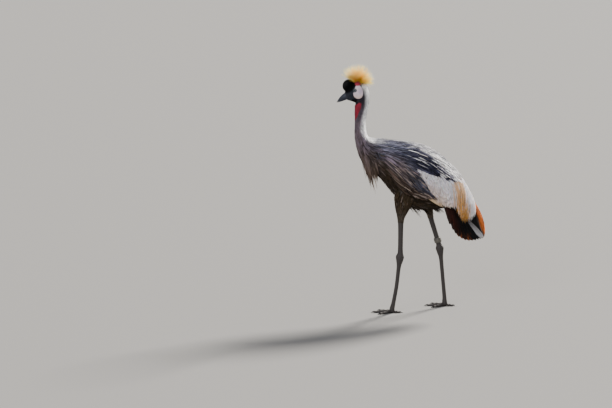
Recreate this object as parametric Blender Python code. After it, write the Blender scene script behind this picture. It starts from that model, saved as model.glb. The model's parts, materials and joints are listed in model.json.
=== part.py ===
"""A grey crowned crane, life size, standing still in mid stride and looking ahead.

Metres, +Z up. The bird faces -X and its left side is toward -Y. The origin is on the floor,
under the middle of the bird's box, and its toes stand on the plane z = 0.
"""

import math
import random

import bmesh
import bpy
import numpy as np

# Driving sizes

GAP = 0.0003
LEFT, RIGHT = -1, 1
SIDE_NAMES = {LEFT: "left", RIGHT: "right"}

# Head, neck and torso as cross sections from the base of the bill to the root of the tail.
# Each row is the back edge (x, z), the front or belly edge (x, z) and half the width.
BODY = np.array([
    (-0.273, 0.898, -0.265, 0.872, 0.0085),
    (-0.264, 0.917, -0.252, 0.869, 0.0130),
    (-0.249, 0.931, -0.240, 0.865, 0.0175),
    (-0.232, 0.942, -0.232, 0.862, 0.0205),
    (-0.210, 0.945, -0.228, 0.860, 0.0225),
    (-0.190, 0.935, -0.227, 0.858, 0.0230),
    (-0.177, 0.915, -0.227, 0.855, 0.0225),
    (-0.171, 0.888, -0.227, 0.850, 0.0220),
    (-0.173, 0.853, -0.227, 0.831, 0.0215),
    (-0.181, 0.814, -0.228, 0.804, 0.0205),
    (-0.186, 0.781, -0.229, 0.774, 0.0200),
    (-0.184, 0.745, -0.228, 0.729, 0.0220),
    (-0.174, 0.718, -0.219, 0.681, 0.0290),
    (-0.153, 0.703, -0.203, 0.639, 0.0400),
    (-0.123, 0.697, -0.174, 0.593, 0.0510),
    (-0.056, 0.686, -0.121, 0.547, 0.0640),
    (0.022, 0.671, -0.059, 0.477, 0.0730),
    (0.088, 0.641, 0.006, 0.427, 0.0760),
    (0.128, 0.606, 0.064, 0.420, 0.0700),
    (0.162, 0.563, 0.113, 0.423, 0.0580),
    (0.188, 0.524, 0.152, 0.429, 0.0430),
    (0.204, 0.487, 0.178, 0.437, 0.0270),
    (0.208, 0.462, 0.196, 0.446, 0.0120),
])
HEAD_FROM, HEAD_TO = 0, 7
HEAD_GRID = (15, 18)
NECK_GRID = (8, 18)
NECK_MIDDLE = 10
NECK_END = 13
TORSO_END = 22
TORSO_GRID = (18, 20)

# The plumes of the neck base: root place, count on a side, how much short of the tip line,
# half width and rise.
PLUME_TIERS = (
    (11.2, 4, 1.0, 0.0095, (-0.0060, 0.0060, 0.0090)),
    (12.3, 7, 0.0, 0.0090, (-0.0060, 0.0042, 0.0055)),
)
PLUME_TIPS = ((0, 60, 80, 100, 130, 180), (13.65, 13.65, 13.9, 14.3, 14.8, 15.0))
PLUME_HANG = 0.026

# The folded wings as one envelope over the back and sides, from the shoulders to the tips.
WING = np.array([
    (-0.154, 0.709, -0.203, 0.639, 0.046),
    (-0.125, 0.710, -0.174, 0.591, 0.062),
    (-0.056, 0.705, -0.125, 0.541, 0.082),
    (0.024, 0.694, -0.064, 0.468, 0.094),
    (0.098, 0.664, 0.002, 0.418, 0.098),
    (0.146, 0.624, 0.059, 0.402, 0.096),
    (0.187, 0.583, 0.109, 0.381, 0.090),
    (0.217, 0.547, 0.141, 0.358, 0.080),
    (0.244, 0.498, 0.162, 0.335, 0.069),
    (0.267, 0.456, 0.178, 0.316, 0.058),
    (0.289, 0.410, 0.199, 0.298, 0.046),
    (0.303, 0.364, 0.223, 0.285, 0.034),
    (0.308, 0.323, 0.256, 0.281, 0.020),
    (0.301, 0.294, 0.285, 0.283, 0.006),
])

EYE_AT = (-0.2305, 0.9125)
EYE_RADIUS = 0.0060
BILL_TIP = (-0.304, 0.861)
BILL_NOSTRIL = (-0.2775, 0.8855)
LID_ROOM = 0.0026
CUSHION_AT = (-0.2548, 0.0, 0.9285)
CUSHION_SIZE = (0.0255, 0.0175, 0.0262)
CHEEK_AT = (-0.2145, 0.9035)
CHEEK_SIZE = (0.0205, 0.0280)
CREST_BED = (3.35, 5.25)
CREST_SPREAD = 34
CREST_COUNT = 70
CREST_LENGTH = 0.084
CREST_RADIUS = 0.0013
CREST_FRONT, CREST_REAR = 150, -8
CREST_LEAN = 62
GOLDEN = 0.6180339887

# The beds of the wing feathers: their places, and their inner and outer heights on the envelope
# at places along them. Each bed lies under the last one, and the deep stretch reaches the body.
MIDLINE = 0.0004
BED_STEP = 0.4
BED_COLUMNS = 7
BED_UPPER_EDGE = 0.5
THIGH_ROOM = 1.0
BED_LOWER_EDGE = ((0.8, 1.6, 2.4, 3.2, 4.4, 5.2, 6.0, 7.2), (66, 94, 118, 120, 116, 112, 118, 130))
WING_BEDS = {
    "wing": ((0.8, 3.2), ((0.8, 2.8, 3.2), (-0.030, -0.030, -0.0122)),
             ((0.8, 1.6), (-0.0100, -0.0082))),
    "coverts": ((3.2, 6.0), ((3.2, 4.0, 4.4), (-0.030, -0.030, -0.0170)),
                ((3.2, 4.0), (-0.0128, -0.0128))),
    "flight": ((4.4, 7.2), ((4.4, 5.2), (-0.030, -0.030)),
               ((4.4, 5.2), (-0.0176, -0.0176))),
}

# Where the tips of the last tier of grey, white and flight feathers end: turn, then place.
GREY_TIPS = ((4, 20, 38, 55, 68, 74, 82, 92, 101, 108, 116, 123, 128),
             (6.7, 6.5, 6.2, 5.5, 4.6, 3.9, 4.0, 4.4, 4.8, 5.25, 4.9, 4.3, 3.7))
WHITE_TIPS = ((4, 20, 40, 60, 80, 103, 115, 123, 128),
              (8.6, 8.4, 7.6, 7.4, 7.2, 7.0, 6.3, 5.7, 5.2))
FLIGHT_TIPS = ((0.0, 0.15, 0.3, 0.45, 0.6, 0.8, 1.0),
               (10.6, 11.6, 12.4, 12.2, 11.4, 9.8, 7.9),
               (12, 24, 60, 115, 142, 160, 166))

FEATHER_SLANT = 0.80
FEATHER_LAYER = 0.0022
FEATHER_LAP = 0.62
STRAW_COUNT = 3
FLIGHT_COUNT = 7
FLIGHT_STACK = 0.0011

TAIL_ROOT = (0.205, 0.0, 0.455)
TAIL_TIP = (0.283, 0.0, 0.306)
TAIL_COUNT = 5
TAIL_HALF_WIDTH = 0.0110
TAIL_STACK = 0.0011

# Legs from inside the thigh to the foot: x, y, z, half the depth and half the width.
LEGS = {
    LEFT: np.array([
        (-0.0200, -0.0440, 0.5000, 0.0400, 0.0240),
        (-0.0260, -0.0480, 0.4650, 0.0350, 0.0230),
        (-0.0330, -0.0530, 0.4300, 0.0230, 0.0190),
        (-0.0390, -0.0580, 0.3950, 0.0130, 0.0125),
        (-0.0405, -0.0610, 0.3650, 0.0098, 0.0098),
        (-0.0410, -0.0640, 0.3000, 0.0088, 0.0088),
        (-0.0415, -0.0660, 0.2520, 0.0098, 0.0098),
        (-0.0430, -0.0670, 0.2340, 0.0150, 0.0125),
        (-0.0445, -0.0680, 0.2160, 0.0120, 0.0112),
        (-0.0480, -0.0690, 0.1880, 0.0080, 0.0082),
        (-0.0560, -0.0700, 0.1140, 0.0072, 0.0074),
        (-0.0680, -0.0710, 0.0450, 0.0076, 0.0078),
        (-0.0735, -0.0710, 0.0200, 0.0095, 0.0100),
    ]),
    RIGHT: np.array([
        (0.0600, 0.0440, 0.5000, 0.0400, 0.0240),
        (0.0640, 0.0480, 0.4650, 0.0340, 0.0230),
        (0.0700, 0.0530, 0.4280, 0.0220, 0.0190),
        (0.0790, 0.0580, 0.3950, 0.0130, 0.0125),
        (0.0865, 0.0610, 0.3650, 0.0098, 0.0098),
        (0.1050, 0.0630, 0.3050, 0.0088, 0.0088),
        (0.1175, 0.0650, 0.2640, 0.0098, 0.0098),
        (0.1215, 0.0660, 0.2470, 0.0150, 0.0125),
        (0.1240, 0.0670, 0.2290, 0.0118, 0.0112),
        (0.1280, 0.0680, 0.2000, 0.0080, 0.0082),
        (0.1355, 0.0690, 0.1200, 0.0072, 0.0074),
        (0.1425, 0.0700, 0.0460, 0.0076, 0.0078),
        (0.1440, 0.0700, 0.0200, 0.0095, 0.0100),
    ]),
}
THIGH_END = 3.4
SHANK_END = 6.1
ANKLE_END = 8.4
TARSUS_END = 12
RING_FROM, RING_TO = 5.32, 5.80
RING_WALL = 0.0042
RING_ROOM = GAP + 0.0003

FRONT_TOES = ((-34, 0.060), (0, 0.072), (36, 0.058))
HIND_TOE = (176, 0.034)
TOE_RADIUS = 0.0062
CLAW_LENGTH = 0.014
CLAW_CLEAR = 0.0004
KNUCKLE_HEIGHT = 0.012


# A feather's thickness, and its outlines: shares of its length, and the half width there as
# shares of the widest.
VANE = 0.0007
LANCE = ((0.0, 0.30, 0.70, 1.0), (0.30, 1.0, 0.76, 0.0))
ROUND = ((0.0, 0.36, 0.86, 1.0), (0.32, 1.0, 0.80, 0.0))
STRAP = ((0.0, 0.24, 0.58, 0.92, 1.0), (0.30, 0.90, 1.0, 0.72, 0.0))


# Curves and surfaces

def along(rows, place):
    """The smooth curve through the rows, at places counted in rows."""
    place = np.clip(np.asarray(place, float), 0, len(rows) - 1)
    first = np.minimum(place.astype(int), len(rows) - 2)
    t = (place - first)[..., None]
    padded = np.vstack([2 * rows[0] - rows[1], rows, 2 * rows[-1] - rows[-2]])
    a, b, c, d = (padded[first + step] for step in range(4))
    return 0.5 * (2 * b + (c - a) * t + (2 * a - 5 * b + 4 * c - d) * t**2
                  + (3 * b - a - 3 * c + d) * t**3)


def bare_surface(rows, place, turn):
    """A point of a sectioned form. turn is 0 on the back, pi on the belly, positive on the left."""
    row = along(rows, place)
    back = row[..., 0:2]
    front = row[..., 2:4]
    middle = (back + front) / 2
    reach = (back - front) / 2 * np.cos(turn)[..., None]
    flat = middle + reach
    return np.stack([flat[..., 0], -row[..., 4] * np.sin(turn), flat[..., 1]], axis=-1)


def unit(vector):
    return vector / np.maximum(np.linalg.norm(vector, axis=-1, keepdims=True), 1e-12)


def outward(rows, place, turn):
    """The surface's outward direction."""
    step = 1e-3
    last = len(rows) - 1
    ahead = bare_surface(rows, np.minimum(place + step, last), turn)
    behind = bare_surface(rows, np.maximum(place - step, 0), turn)
    left = bare_surface(rows, place, turn + step)
    right = bare_surface(rows, place, turn - step)
    return unit(np.cross(left - right, ahead - behind))


def surface(rows, place, turn, lift=0.0):
    place, turn, lift = np.broadcast_arrays(
        np.asarray(place, float), np.asarray(turn, float), np.asarray(lift, float))
    return bare_surface(rows, place, turn) + lift[..., None] * outward(rows, place, turn)


def radians(degrees):
    return np.radians(np.asarray(degrees, float))


# Meshes

def material(name, colour, roughness=0.6, metallic=0.0):
    made = bpy.data.materials.get(name) or bpy.data.materials.new(name)
    made.use_nodes = True
    shader = made.node_tree.nodes["Principled BSDF"]
    shader.inputs["Base Color"].default_value = (*colour, 1.0)
    shader.inputs["Roughness"].default_value = roughness
    shader.inputs["Metallic"].default_value = metallic
    made.diffuse_color = (*colour, 1.0)
    return made


def new_object(name, points, faces, finish=None):
    mesh = bpy.data.meshes.new(name)
    mesh.from_pydata([tuple(map(float, point)) for point in points], [], faces)
    edit = bmesh.new()
    edit.from_mesh(mesh)
    bmesh.ops.recalc_face_normals(edit, faces=edit.faces)
    if edit.calc_volume(signed=True) < 0:
        bmesh.ops.reverse_faces(edit, faces=edit.faces)
    edit.to_mesh(mesh)
    edit.free()
    made = bpy.data.objects.new(name, mesh)
    bpy.context.scene.collection.objects.link(made)
    if finish:
        mesh.materials.append(finish)
    return made


def ring_solid(rings, ends=None):
    """Points and triangles of a closed form through the rings, flat at its ends or pointed."""
    rings = np.asarray(rings)
    count, around = rings.shape[:2]
    points = list(rings.reshape(-1, 3)) + list(ends or (rings[0].mean(0), rings[-1].mean(0)))
    faces = []
    for i in range(count - 1):
        for j in range(around):
            near, far = i * around + j, i * around + (j + 1) % around
            faces.append((near, far, far + around))
            faces.append((near, far + around, near + around))
    first, last = count * around, count * around + 1
    top = (count - 1) * around
    for j in range(around):
        following = (j + 1) % around
        faces.append((first, following, j))
        faces.append((last, top + j, top + following))
    return points, faces


def sheet_solid(under, over):
    """Points and triangles of a closed sheet between two grids that are split alike."""
    rows, columns = under.shape[:2]
    total = rows * columns
    points = list(under.reshape(-1, 3)) + list(over.reshape(-1, 3))
    faces = []
    for i in range(rows - 1):
        for j in range(columns - 1):
            a, b = i * columns + j, i * columns + j + 1
            c, d = b + columns, a + columns
            faces += [(a, b, c), (a, c, d)]
            faces += [(a + total, c + total, b + total), (a + total, d + total, c + total)]
    border = [j for j in range(columns)]
    border += [i * columns + columns - 1 for i in range(1, rows)]
    border += [(rows - 1) * columns + j for j in range(columns - 2, -1, -1)]
    border += [i * columns for i in range(rows - 2, 0, -1)]
    for here, there in zip(border, border[1:] + border[:1]):
        faces += [(here, there + total, there), (here, here + total, there + total)]
    return points, faces


def apply_modifiers(made):
    graph = bpy.context.evaluated_depsgraph_get()
    graph.update()
    changed = bpy.data.meshes.new_from_object(made.evaluated_get(graph))
    made.modifiers.clear()
    made.data = changed


def keep_largest(made):
    """Keeps the closed surface that holds the most volume."""
    edit = bmesh.new()
    edit.from_mesh(made.data)
    left = set(edit.verts)
    groups = []
    while left:
        seed = left.pop()
        group = {seed}
        border = [seed]
        while border:
            vertex = border.pop()
            for edge in vertex.link_edges:
                other = edge.other_vert(vertex)
                if other in left:
                    left.remove(other)
                    group.add(other)
                    border.append(other)
        groups.append(group)

    def held(group):
        total = 0.0
        for face in {face for vertex in group for face in vertex.link_faces}:
            corners = [vertex.co for vertex in face.verts]
            for i in range(1, len(corners) - 1):
                total += corners[0].dot(corners[i].cross(corners[i + 1]))
        return total

    best = max(groups, key=held)
    bmesh.ops.delete(edit, geom=[v for v in edit.verts if v not in best], context="VERTS")
    bmesh.ops.triangulate(edit, faces=[face for face in edit.faces if len(face.verts) > 3])
    edit.to_mesh(made.data)
    edit.free()


def boolean(made, others, operation, solver="MANIFOLD"):
    """Joins the others to the object, or cuts them from it, and removes them."""
    gathered = bpy.data.collections.new("pieces")
    bpy.context.scene.collection.children.link(gathered)
    for other in others:
        bpy.context.scene.collection.objects.unlink(other)
        gathered.objects.link(other)
    modifier = made.modifiers.new("join", "BOOLEAN")
    modifier.operation = operation
    modifier.operand_type = "COLLECTION"
    modifier.collection = gathered
    modifier.solver = solver
    apply_modifiers(made)
    for other in others:
        bpy.data.objects.remove(other)
    bpy.data.collections.remove(gathered)
    keep_largest(made)
    return made


def grown(source, amount):
    """A copy of an object, swollen by the amount, to cut a neighbour clear of it."""
    copy = new_object(source.name + ".cutter", [v.co for v in source.data.vertices],
                      [tuple(face.vertices) for face in source.data.polygons])
    edit = bmesh.new()
    edit.from_mesh(copy.data)
    edit.normal_update()
    moves = {vertex: vertex.normal * amount * vertex.calc_shell_factor() for vertex in edit.verts}
    for vertex, move in moves.items():
        vertex.co += move
    edit.to_mesh(copy.data)
    edit.free()
    return copy


def ellipsoid(name, centre, size, finish=None, around=16, down=10):
    rings = []
    for i in range(1, down):
        angle = math.pi * i / down
        ring = [(centre[0] + size[0] * math.sin(angle) * math.cos(turn),
                 centre[1] + size[1] * math.sin(angle) * math.sin(turn),
                 centre[2] + size[2] * math.cos(angle))
                for turn in np.linspace(0, 2 * math.pi, around, endpoint=False)]
        rings.append(ring)
    poles = [np.array(centre) + np.array((0, 0, size[2] * sign)) for sign in (1, -1)]
    return new_object(name, *ring_solid(rings, poles), finish)


def length_of_body(name, start, end, steps, around, finish, lift=0.0):
    """A length of the body between two flat cuts, each half a gap short of its section."""
    turns = np.linspace(0, 2 * math.pi, around, endpoint=False)
    places = np.linspace(start, end, steps + 1)
    rings = [surface(BODY, place, turns, lift) for place in places]
    for index, sign, place in ((0, 1, start), (-1, -1, end)):
        if 0 < place < TORSO_END:
            rings[index] = rings[index] + sign * GAP / 2 * cut_direction(BODY, place)
    return new_object(name, *ring_solid(rings), finish)


def cut_direction(rows, place):
    """The direction square to a section, toward the later sections."""
    row = along(rows, place)
    back, front = row[0:2], row[2:4]
    edge = np.array((back[0] - front[0], 0.0, back[1] - front[1]))
    square = unit(np.cross(edge, (0.0, 1.0, 0.0)))
    middle = (along(rows, place + 0.05) - along(rows, place - 0.05))[0:4]
    travel = np.array((middle[0] + middle[2], 0.0, middle[1] + middle[3]))
    return square if np.dot(square, travel) > 0 else -square


def vane(lines, normals, tip):
    """A thin sheet through rows of points, drawn to one point, with both faces split alike."""
    rows, columns = lines.shape[:2]
    total = rows * columns
    half = normals[:, None, :] * VANE / 2
    points = [*(lines - half).reshape(-1, 3), *(lines + half).reshape(-1, 3), tip]
    faces = []
    for face in (0, total):
        for j in range(columns - 1):
            for i in range(rows - 1):
                a = face + i * columns + j
                faces += [(a, a + 1, a + columns + 1), (a, a + columns + 1, a + columns)]
            a = face + total - columns + j
            faces.append((a, a + 1, 2 * total))
    for j in range(columns - 1):
        faces += [(j, j + 1, j + 1 + total), (j, j + 1 + total, j + total)]
    for edge in (0, columns - 1):
        for i in range(rows - 1):
            a = i * columns + edge
            faces += [(a, a + columns, a + columns + total), (a, a + columns + total, a + total)]
        a = total - columns + edge
        faces.append((a, 2 * total, a + total))
    return points, faces


def lie(rows, side, root, tip, half_width, rise, number=0, bend=0.0, shape=LANCE):
    """A vane that lies along a surface from root to tip, each a (place, turn in degrees).

    rise gives its height over the surface at the root, at a fifth of its length and at the tip.
    Every other vane of a tier lies in a lower layer, so that neighbours lap with no touch.
    """
    t = np.array(shape[0])
    place = root[0] + (tip[0] - root[0]) * t
    turn = radians(root[1] + (tip[1] - root[1]) * t + bend * np.sin(math.pi * t)) * -side
    lift = np.interp(t, (0, 0.2, 1), rise) - np.where(t > 0, number % 2 * FEATHER_LAYER, 0)
    path = surface(rows, place, turn, lift)
    normals = outward(rows, place, turn)
    across = unit(np.cross(unit(np.gradient(path, axis=0)), normals))
    widths = half_width * np.array(shape[1])
    step = 1e-3
    by_place = surface(rows, place + step, turn, lift) - surface(rows, place - step, turn, lift)
    by_turn = surface(rows, place, turn + step, lift) - surface(rows, place, turn - step, lift)
    edges = []
    for share in (-1, 1):
        moved = []
        for i in range(len(t) - 1):
            change = np.stack([by_place[i], by_turn[i]], axis=1) / (2 * step)
            move = across[i] * widths[i] * share
            shift = np.linalg.lstsq(change, move, rcond=None)[0]
            moved.append(surface(rows, place[i] + shift[0], turn[i] + shift[1], lift[i]))
        edges.append(moved)
    return vane(np.array(edges).transpose(1, 0, 2), normals[:-1], path[-1])


def room_between(rows, place, turn, step, most):
    """Half the width of a vane that just laps over the next one, a step of turn away."""
    ends = surface(rows, place, radians((turn - step / 2, turn + step / 2)))
    return min(most, FEATHER_LAP * np.linalg.norm(ends[1] - ends[0]))


def own_side(form, side):
    """Keeps a form's points on its own side of the midline."""
    points, faces = form
    points = [(x, side * max(side * y, MIDLINE), z) for x, y, z in points]
    return points, faces


def spine(root, direction, length, radius):
    """A stiff three-sided bristle, thickest at its root."""
    direction = unit(np.asarray(direction, float))
    first = unit(np.cross(direction, (0.3, 1.0, 0.2)))
    second = np.cross(direction, first)
    points = [root + radius * (first * math.cos(angle) + second * math.sin(angle))
              for angle in np.linspace(0, 2 * math.pi, 3, endpoint=False)]
    points.append(root + direction * length)
    return points, [(0, 2, 1), (0, 1, 3), (1, 2, 3), (2, 0, 3)]


def pieces_from(forms):
    return [new_object(f"piece.{number:03d}", *form) for number, form in enumerate(forms)]


# Head

def make_head(finish):
    head = length_of_body("head", HEAD_FROM, HEAD_TO, *HEAD_GRID, finish)
    lids = []
    for side in (LEFT, RIGHT):
        centre = eye_centre(side)
        lids.append(lid_ring(centre, side))
    boolean(head, lids, "UNION")
    sockets = [ellipsoid(f"socket.{side}", eye_centre(side), (EYE_RADIUS + 2 * GAP,) * 3, None, 12, 7)
               for side in (LEFT, RIGHT)]
    boolean(head, sockets + [mouth_slit(side) for side in (LEFT, RIGHT)], "DIFFERENCE")
    return head


def eye_centre(side):
    """The eyeball's middle, just under the skin of the cheek."""
    place, turn = find_on(BODY, EYE_AT, (1.5, 6.0))
    return surface(BODY, place, turn * -side, -EYE_RADIUS * 0.62)


def find_on(rows, target, span):
    """The place and turn on the left side of a form that lie at a point (x, z)."""
    places = np.linspace(span[0], span[1], 400)
    row = along(rows, places)
    back, front = row[:, 0:2], row[:, 2:4]
    reach = back - front
    offset = np.asarray(target) - front
    side = reach[:, 0] * offset[:, 1] - reach[:, 1] * offset[:, 0]
    change = np.nonzero(np.sign(side[:-1]) != np.sign(side[1:]))[0]
    index = change[0] if len(change) else int(np.argmin(np.abs(side)))
    share = np.dot(offset[index], reach[index]) / np.dot(reach[index], reach[index])
    return places[index], math.acos(np.clip(2 * share - 1, -1, 1))


def lid_ring(centre, side):
    """The raised rim of the lids round one eye."""
    rings = []
    out = np.array((-0.12, side * 0.99, 0.05))
    out = unit(out)
    up = unit(np.cross(out, (1.0, 0.0, 0.0)))
    ahead = np.cross(up, out)
    for turn in np.linspace(0, 2 * math.pi, 12, endpoint=False):
        spoke = ahead * math.cos(turn) + up * math.sin(turn)
        ring = []
        for corner in np.linspace(0, 2 * math.pi, 5, endpoint=False):
            reach = EYE_RADIUS * 1.0 + 0.0014 * math.cos(corner)
            ring.append(centre + spoke * reach + out * (EYE_RADIUS * 0.42 + 0.0016 * math.sin(corner)))
        rings.append(ring)
    rings = np.array(rings)
    count, around = rings.shape[:2]
    faces = []
    for i in range(count):
        for j in range(around):
            a, b = i * around + j, i * around + (j + 1) % around
            c, d = (i + 1) % count * around + (j + 1) % around, (i + 1) % count * around + j
            faces += [(a, b, c), (a, c, d)]
    return new_object("lid", rings.reshape(-1, 3), faces)


def mouth_slit(side):
    """A thin wedge that carries the line of the mouth back along the cheek."""
    front = np.array((-0.272, side * 0.010, 0.8835))
    back = np.array((-0.244, side * 0.0190, 0.8775))
    along_line = unit(back - front)
    out = unit(np.cross(along_line, (0.0, 0.0, 1.0))) * side * -1
    up = np.cross(out, along_line)
    rings = []
    for middle, depth in ((front - along_line * 0.004, 0.004), (back, 0.0022)):
        rings.append([middle - out * depth + up * 0.0001, middle + out * 0.006 + up * 0.0006,
                      middle + out * 0.006 - up * 0.0006, middle - out * depth - up * 0.0001])
    return new_object("slit", *ring_solid(rings))


def make_eyes(finish):
    for side in (LEFT, RIGHT):
        ellipsoid(f"eye_{SIDE_NAMES[side]}", eye_centre(side), (EYE_RADIUS,) * 3, finish, 14, 8)


def make_cushion(head, finish):
    cushion = ellipsoid("forehead_cushion", CUSHION_AT, CUSHION_SIZE, finish, 16, 9)
    return boolean(cushion, [grown(head, GAP)], "DIFFERENCE")


def make_bill(finish):
    """Both halves of the bill, from the face to the tip, parted along the line of the mouth."""
    row = along(BODY, 0.0)
    culmen, keel = row[0:2], row[2:4]
    mouth = keel + (culmen - keel) * 0.40
    tip = np.array(BILL_TIP)
    upper = bill_half("bill_upper", mouth, culmen, tip, 1, row[4], finish)
    bill_half("bill_lower", mouth, keel, tip + np.array((0.0022, 0.0002)), -1, row[4], finish)
    nostrils = []
    for side in (LEFT, RIGHT):
        middle = (BILL_NOSTRIL[0], side * 0.0068, BILL_NOSTRIL[1])
        nostril = ellipsoid("nostril", (0, 0, 0), (0.0044, 0.0016, 0.0014), None, 6, 5)
        lean = math.radians(35)
        for vertex in nostril.data.vertices:
            x, y, z = vertex.co
            vertex.co = (middle[0] + x * math.cos(lean) - z * math.sin(lean), middle[1] + y,
                         middle[2] + x * math.sin(lean) + z * math.cos(lean))
        nostrils.append(nostril)
    boolean(upper, nostrils, "DIFFERENCE")


def bill_half(name, mouth, edge, tip, sign, base_half_width, finish):
    """Half of the bill. sign is 1 over the line of the mouth and -1 under it."""
    face = cut_direction(BODY, 0.02) * -GAP
    out = np.array((-0.45, 0.89)) * 0.0034 if sign > 0 else np.array((0.10, -0.99)) * 0.0012
    rings = []
    for share in (0.0, 0.2, 0.4, 0.6, 0.8, 0.93, 1.0):
        seam = mouth + (tip - mouth) * share
        reach = (edge - mouth) * (1 - share) + out * math.sin(math.pi * share**0.9)
        reach = reach + np.array((0.0, 0.0011 * sign * share))
        half_width = base_half_width * 0.95 * (1 - share)**0.75 + 0.0010
        ring = [(seam[0] + reach[0] * math.sin(turn), half_width * math.cos(turn),
                 seam[1] + reach[1] * math.sin(turn) + sign * GAP / 2)
                for turn in np.linspace(0, math.pi, 9)]
        rings.append(np.array(ring) + face)
    return new_object(name, *ring_solid(rings), finish)


def make_cheeks(finish):
    """The bare white patch on each side of the face."""
    for side in (LEFT, RIGHT):
        rings = []
        for lift, shares in ((-0.0012, (0.5, 1.0)), (0.0010, (0.92, 0.5))):
            for share in shares:
                rings.append([patch_point(turn, share, side, lift)
                              for turn in np.linspace(0, 2 * math.pi, 16, endpoint=False)])
        middle = [patch_point(0.0, 0.0, side, lift) for lift in (-0.0012, 0.0010)]
        cheek = new_object(f"cheek_{SIDE_NAMES[side]}", *ring_solid(rings, middle), finish)
        eye_room = ellipsoid("eye_room", eye_centre(side), (EYE_RADIUS + LID_ROOM,) * 3, None, 12, 8)
        boolean(cheek, [head_clearance(), eye_room], "DIFFERENCE")


def patch_point(turn, share, side, lift):
    """A point of the cheek patch, which is rounder behind and straighter toward the bill."""
    x = CHEEK_AT[0] + share * CHEEK_SIZE[0] * math.cos(turn) * (1.0 if math.cos(turn) > 0 else 0.86)
    z = CHEEK_AT[1] + share * CHEEK_SIZE[1] * math.sin(turn) - share * 0.003 * math.cos(2 * turn)
    place, around = find_on(BODY, (x, z), (1.5, 7.0))
    return surface(BODY, place, around * -side, lift)


def head_clearance():
    return length_of_body("clearance", HEAD_FROM, HEAD_TO, *HEAD_GRID, None, GAP * 1.15)


def make_wattle(finish):
    """The red throat wattle: two folds on the front of the neck that join in one point."""
    places = np.linspace(7.12, 9.55, 7)
    shares = np.linspace(-1, 1, 9)
    under, over = [], []
    for place in places:
        t = (place - places[0]) / (places[-1] - places[0])
        spread = 66 * (1 - t)**0.8 + 13
        turns = radians(180 + spread * shares)
        swell = (0.0018 + 0.0062 * math.sin(math.pi * (0.12 + 0.80 * t))**0.8)
        fold = 0.72 + 0.28 * np.abs(np.sin(math.pi * shares))
        under.append(surface(BODY, place, turns, -0.0012))
        over.append(surface(BODY, place, turns, swell * fold * np.sqrt(1 - 0.92 * shares**2)))
    wattle = new_object("wattle", *sheet_solid(np.array(under), np.array(over)), finish)
    neck = length_of_body("clearance", HEAD_TO, NECK_MIDDLE, *NECK_GRID, None, GAP * 1.15)
    boolean(wattle, [head_clearance(), neck], "DIFFERENCE")


# Crest

def make_crest(cushion, finish):
    """The crest: a low bed on the hind crown and a fan of stiff bristles that grow from it."""
    places = np.linspace(*CREST_BED, 5)
    shares = np.linspace(-1, 1, 5)
    under, over = [], []
    for place in places:
        t = (place - places[0]) / (places[-1] - places[0])
        turns = radians(CREST_SPREAD * shares * math.sin(math.pi * (0.14 + 0.72 * t))**0.5)
        swell = 0.0006 + 0.0050 * math.sin(math.pi * t)**0.7
        under.append(surface(BODY, place, turns, -0.0012))
        over.append(surface(BODY, place, turns, swell * np.sqrt(1 - 0.9 * shares**2)))
    crest = new_object("crest", *sheet_solid(np.array(under), np.array(over)), finish)
    boolean(crest, pieces_from(crest_bristles()), "UNION")
    boolean(crest, [head_clearance(), grown(cushion, GAP)], "DIFFERENCE")


def crest_bristles():
    """Bristles spread evenly over a dome, from low in front round to the nape."""
    draw = random.Random(3)
    forms = []
    for number in range(CREST_COUNT):
        share = (number + 0.5) / CREST_COUNT
        aside = (number * GOLDEN) % 1.0 * 2 - 1
        fan = CREST_FRONT + (CREST_REAR - CREST_FRONT) * share + draw.uniform(-3, 3)
        lean = CREST_LEAN * aside + draw.uniform(-3, 3)
        direction = (math.cos(math.radians(fan)) * math.cos(math.radians(lean)),
                     math.sin(math.radians(lean)),
                     math.sin(math.radians(fan)) * math.cos(math.radians(lean)))
        place = CREST_BED[0] + (CREST_BED[1] - CREST_BED[0]) * (0.16 + 0.68 * share)
        root = surface(BODY, place, radians(-CREST_SPREAD * 0.6 * aside), 0.0008)
        height = 0.72 + 0.28 * math.sin(math.pi * min(1.0, share * 1.15)) - 0.10 * abs(aside)
        length = CREST_LENGTH * height * draw.uniform(0.86, 1.04)
        forms.append(spine(root, direction, length, CREST_RADIUS))
    return forms


# Neck and torso

def make_neck_and_torso(finish):
    length_of_body("neck_upper", HEAD_TO, NECK_MIDDLE, *NECK_GRID, finish)
    neck = length_of_body("neck_lower", NECK_MIDDLE, NECK_END, *NECK_GRID, finish)
    boolean(neck, pieces_from(neck_plumes()), "UNION")
    length_of_body("torso", NECK_END, TORSO_END, *TORSO_GRID, finish)


def neck_plumes():
    """The long loose plumes that hang from the base of the neck over the breast."""
    draw = random.Random(5)
    forms = []
    for side in (LEFT, RIGHT):
        for roots, count, reach, half_width, rise in PLUME_TIERS:
            for number in range(count):
                share = (number + 0.5) / count
                turn = 12 + (177 - 12) * share + draw.uniform(-1, 1)
                place = roots + draw.uniform(-0.04, 0.04)
                end = np.interp(turn, *PLUME_TIPS) - reach + draw.uniform(-0.12, 0.12)
                front = np.interp(turn, (100, 150), (0, 1))
                height = rise[2] + front * PLUME_HANG * (1 - reach)
                width = room_between(BODY, place + 1, turn, 165 / count, half_width)
                form = lie(BODY, side, (place, turn), (end, turn * 0.97 + 4), width,
                           (rise[0], rise[1], height), number)
                forms.append(own_side(form, side))
    return forms


def torso_clearance():
    return length_of_body("clearance", NECK_END, TORSO_END, *TORSO_GRID, None, GAP * 1.15)


# Wings

def bed_grid(places, heights, side, wider=0.0):
    """A grid over one folded wing at the heights given along it."""
    rows = []
    for place in places:
        lower = np.interp(place, *BED_LOWER_EDGE) + wider
        turns = radians(np.linspace(BED_UPPER_EDGE, lower, BED_COLUMNS))
        rows.append(surface(WING, place, turns * -side, np.interp(place, *heights)))
    rows = np.array(rows)
    rows[..., 1] = side * np.maximum(side * rows[..., 1], MIDLINE)
    return rows


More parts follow.
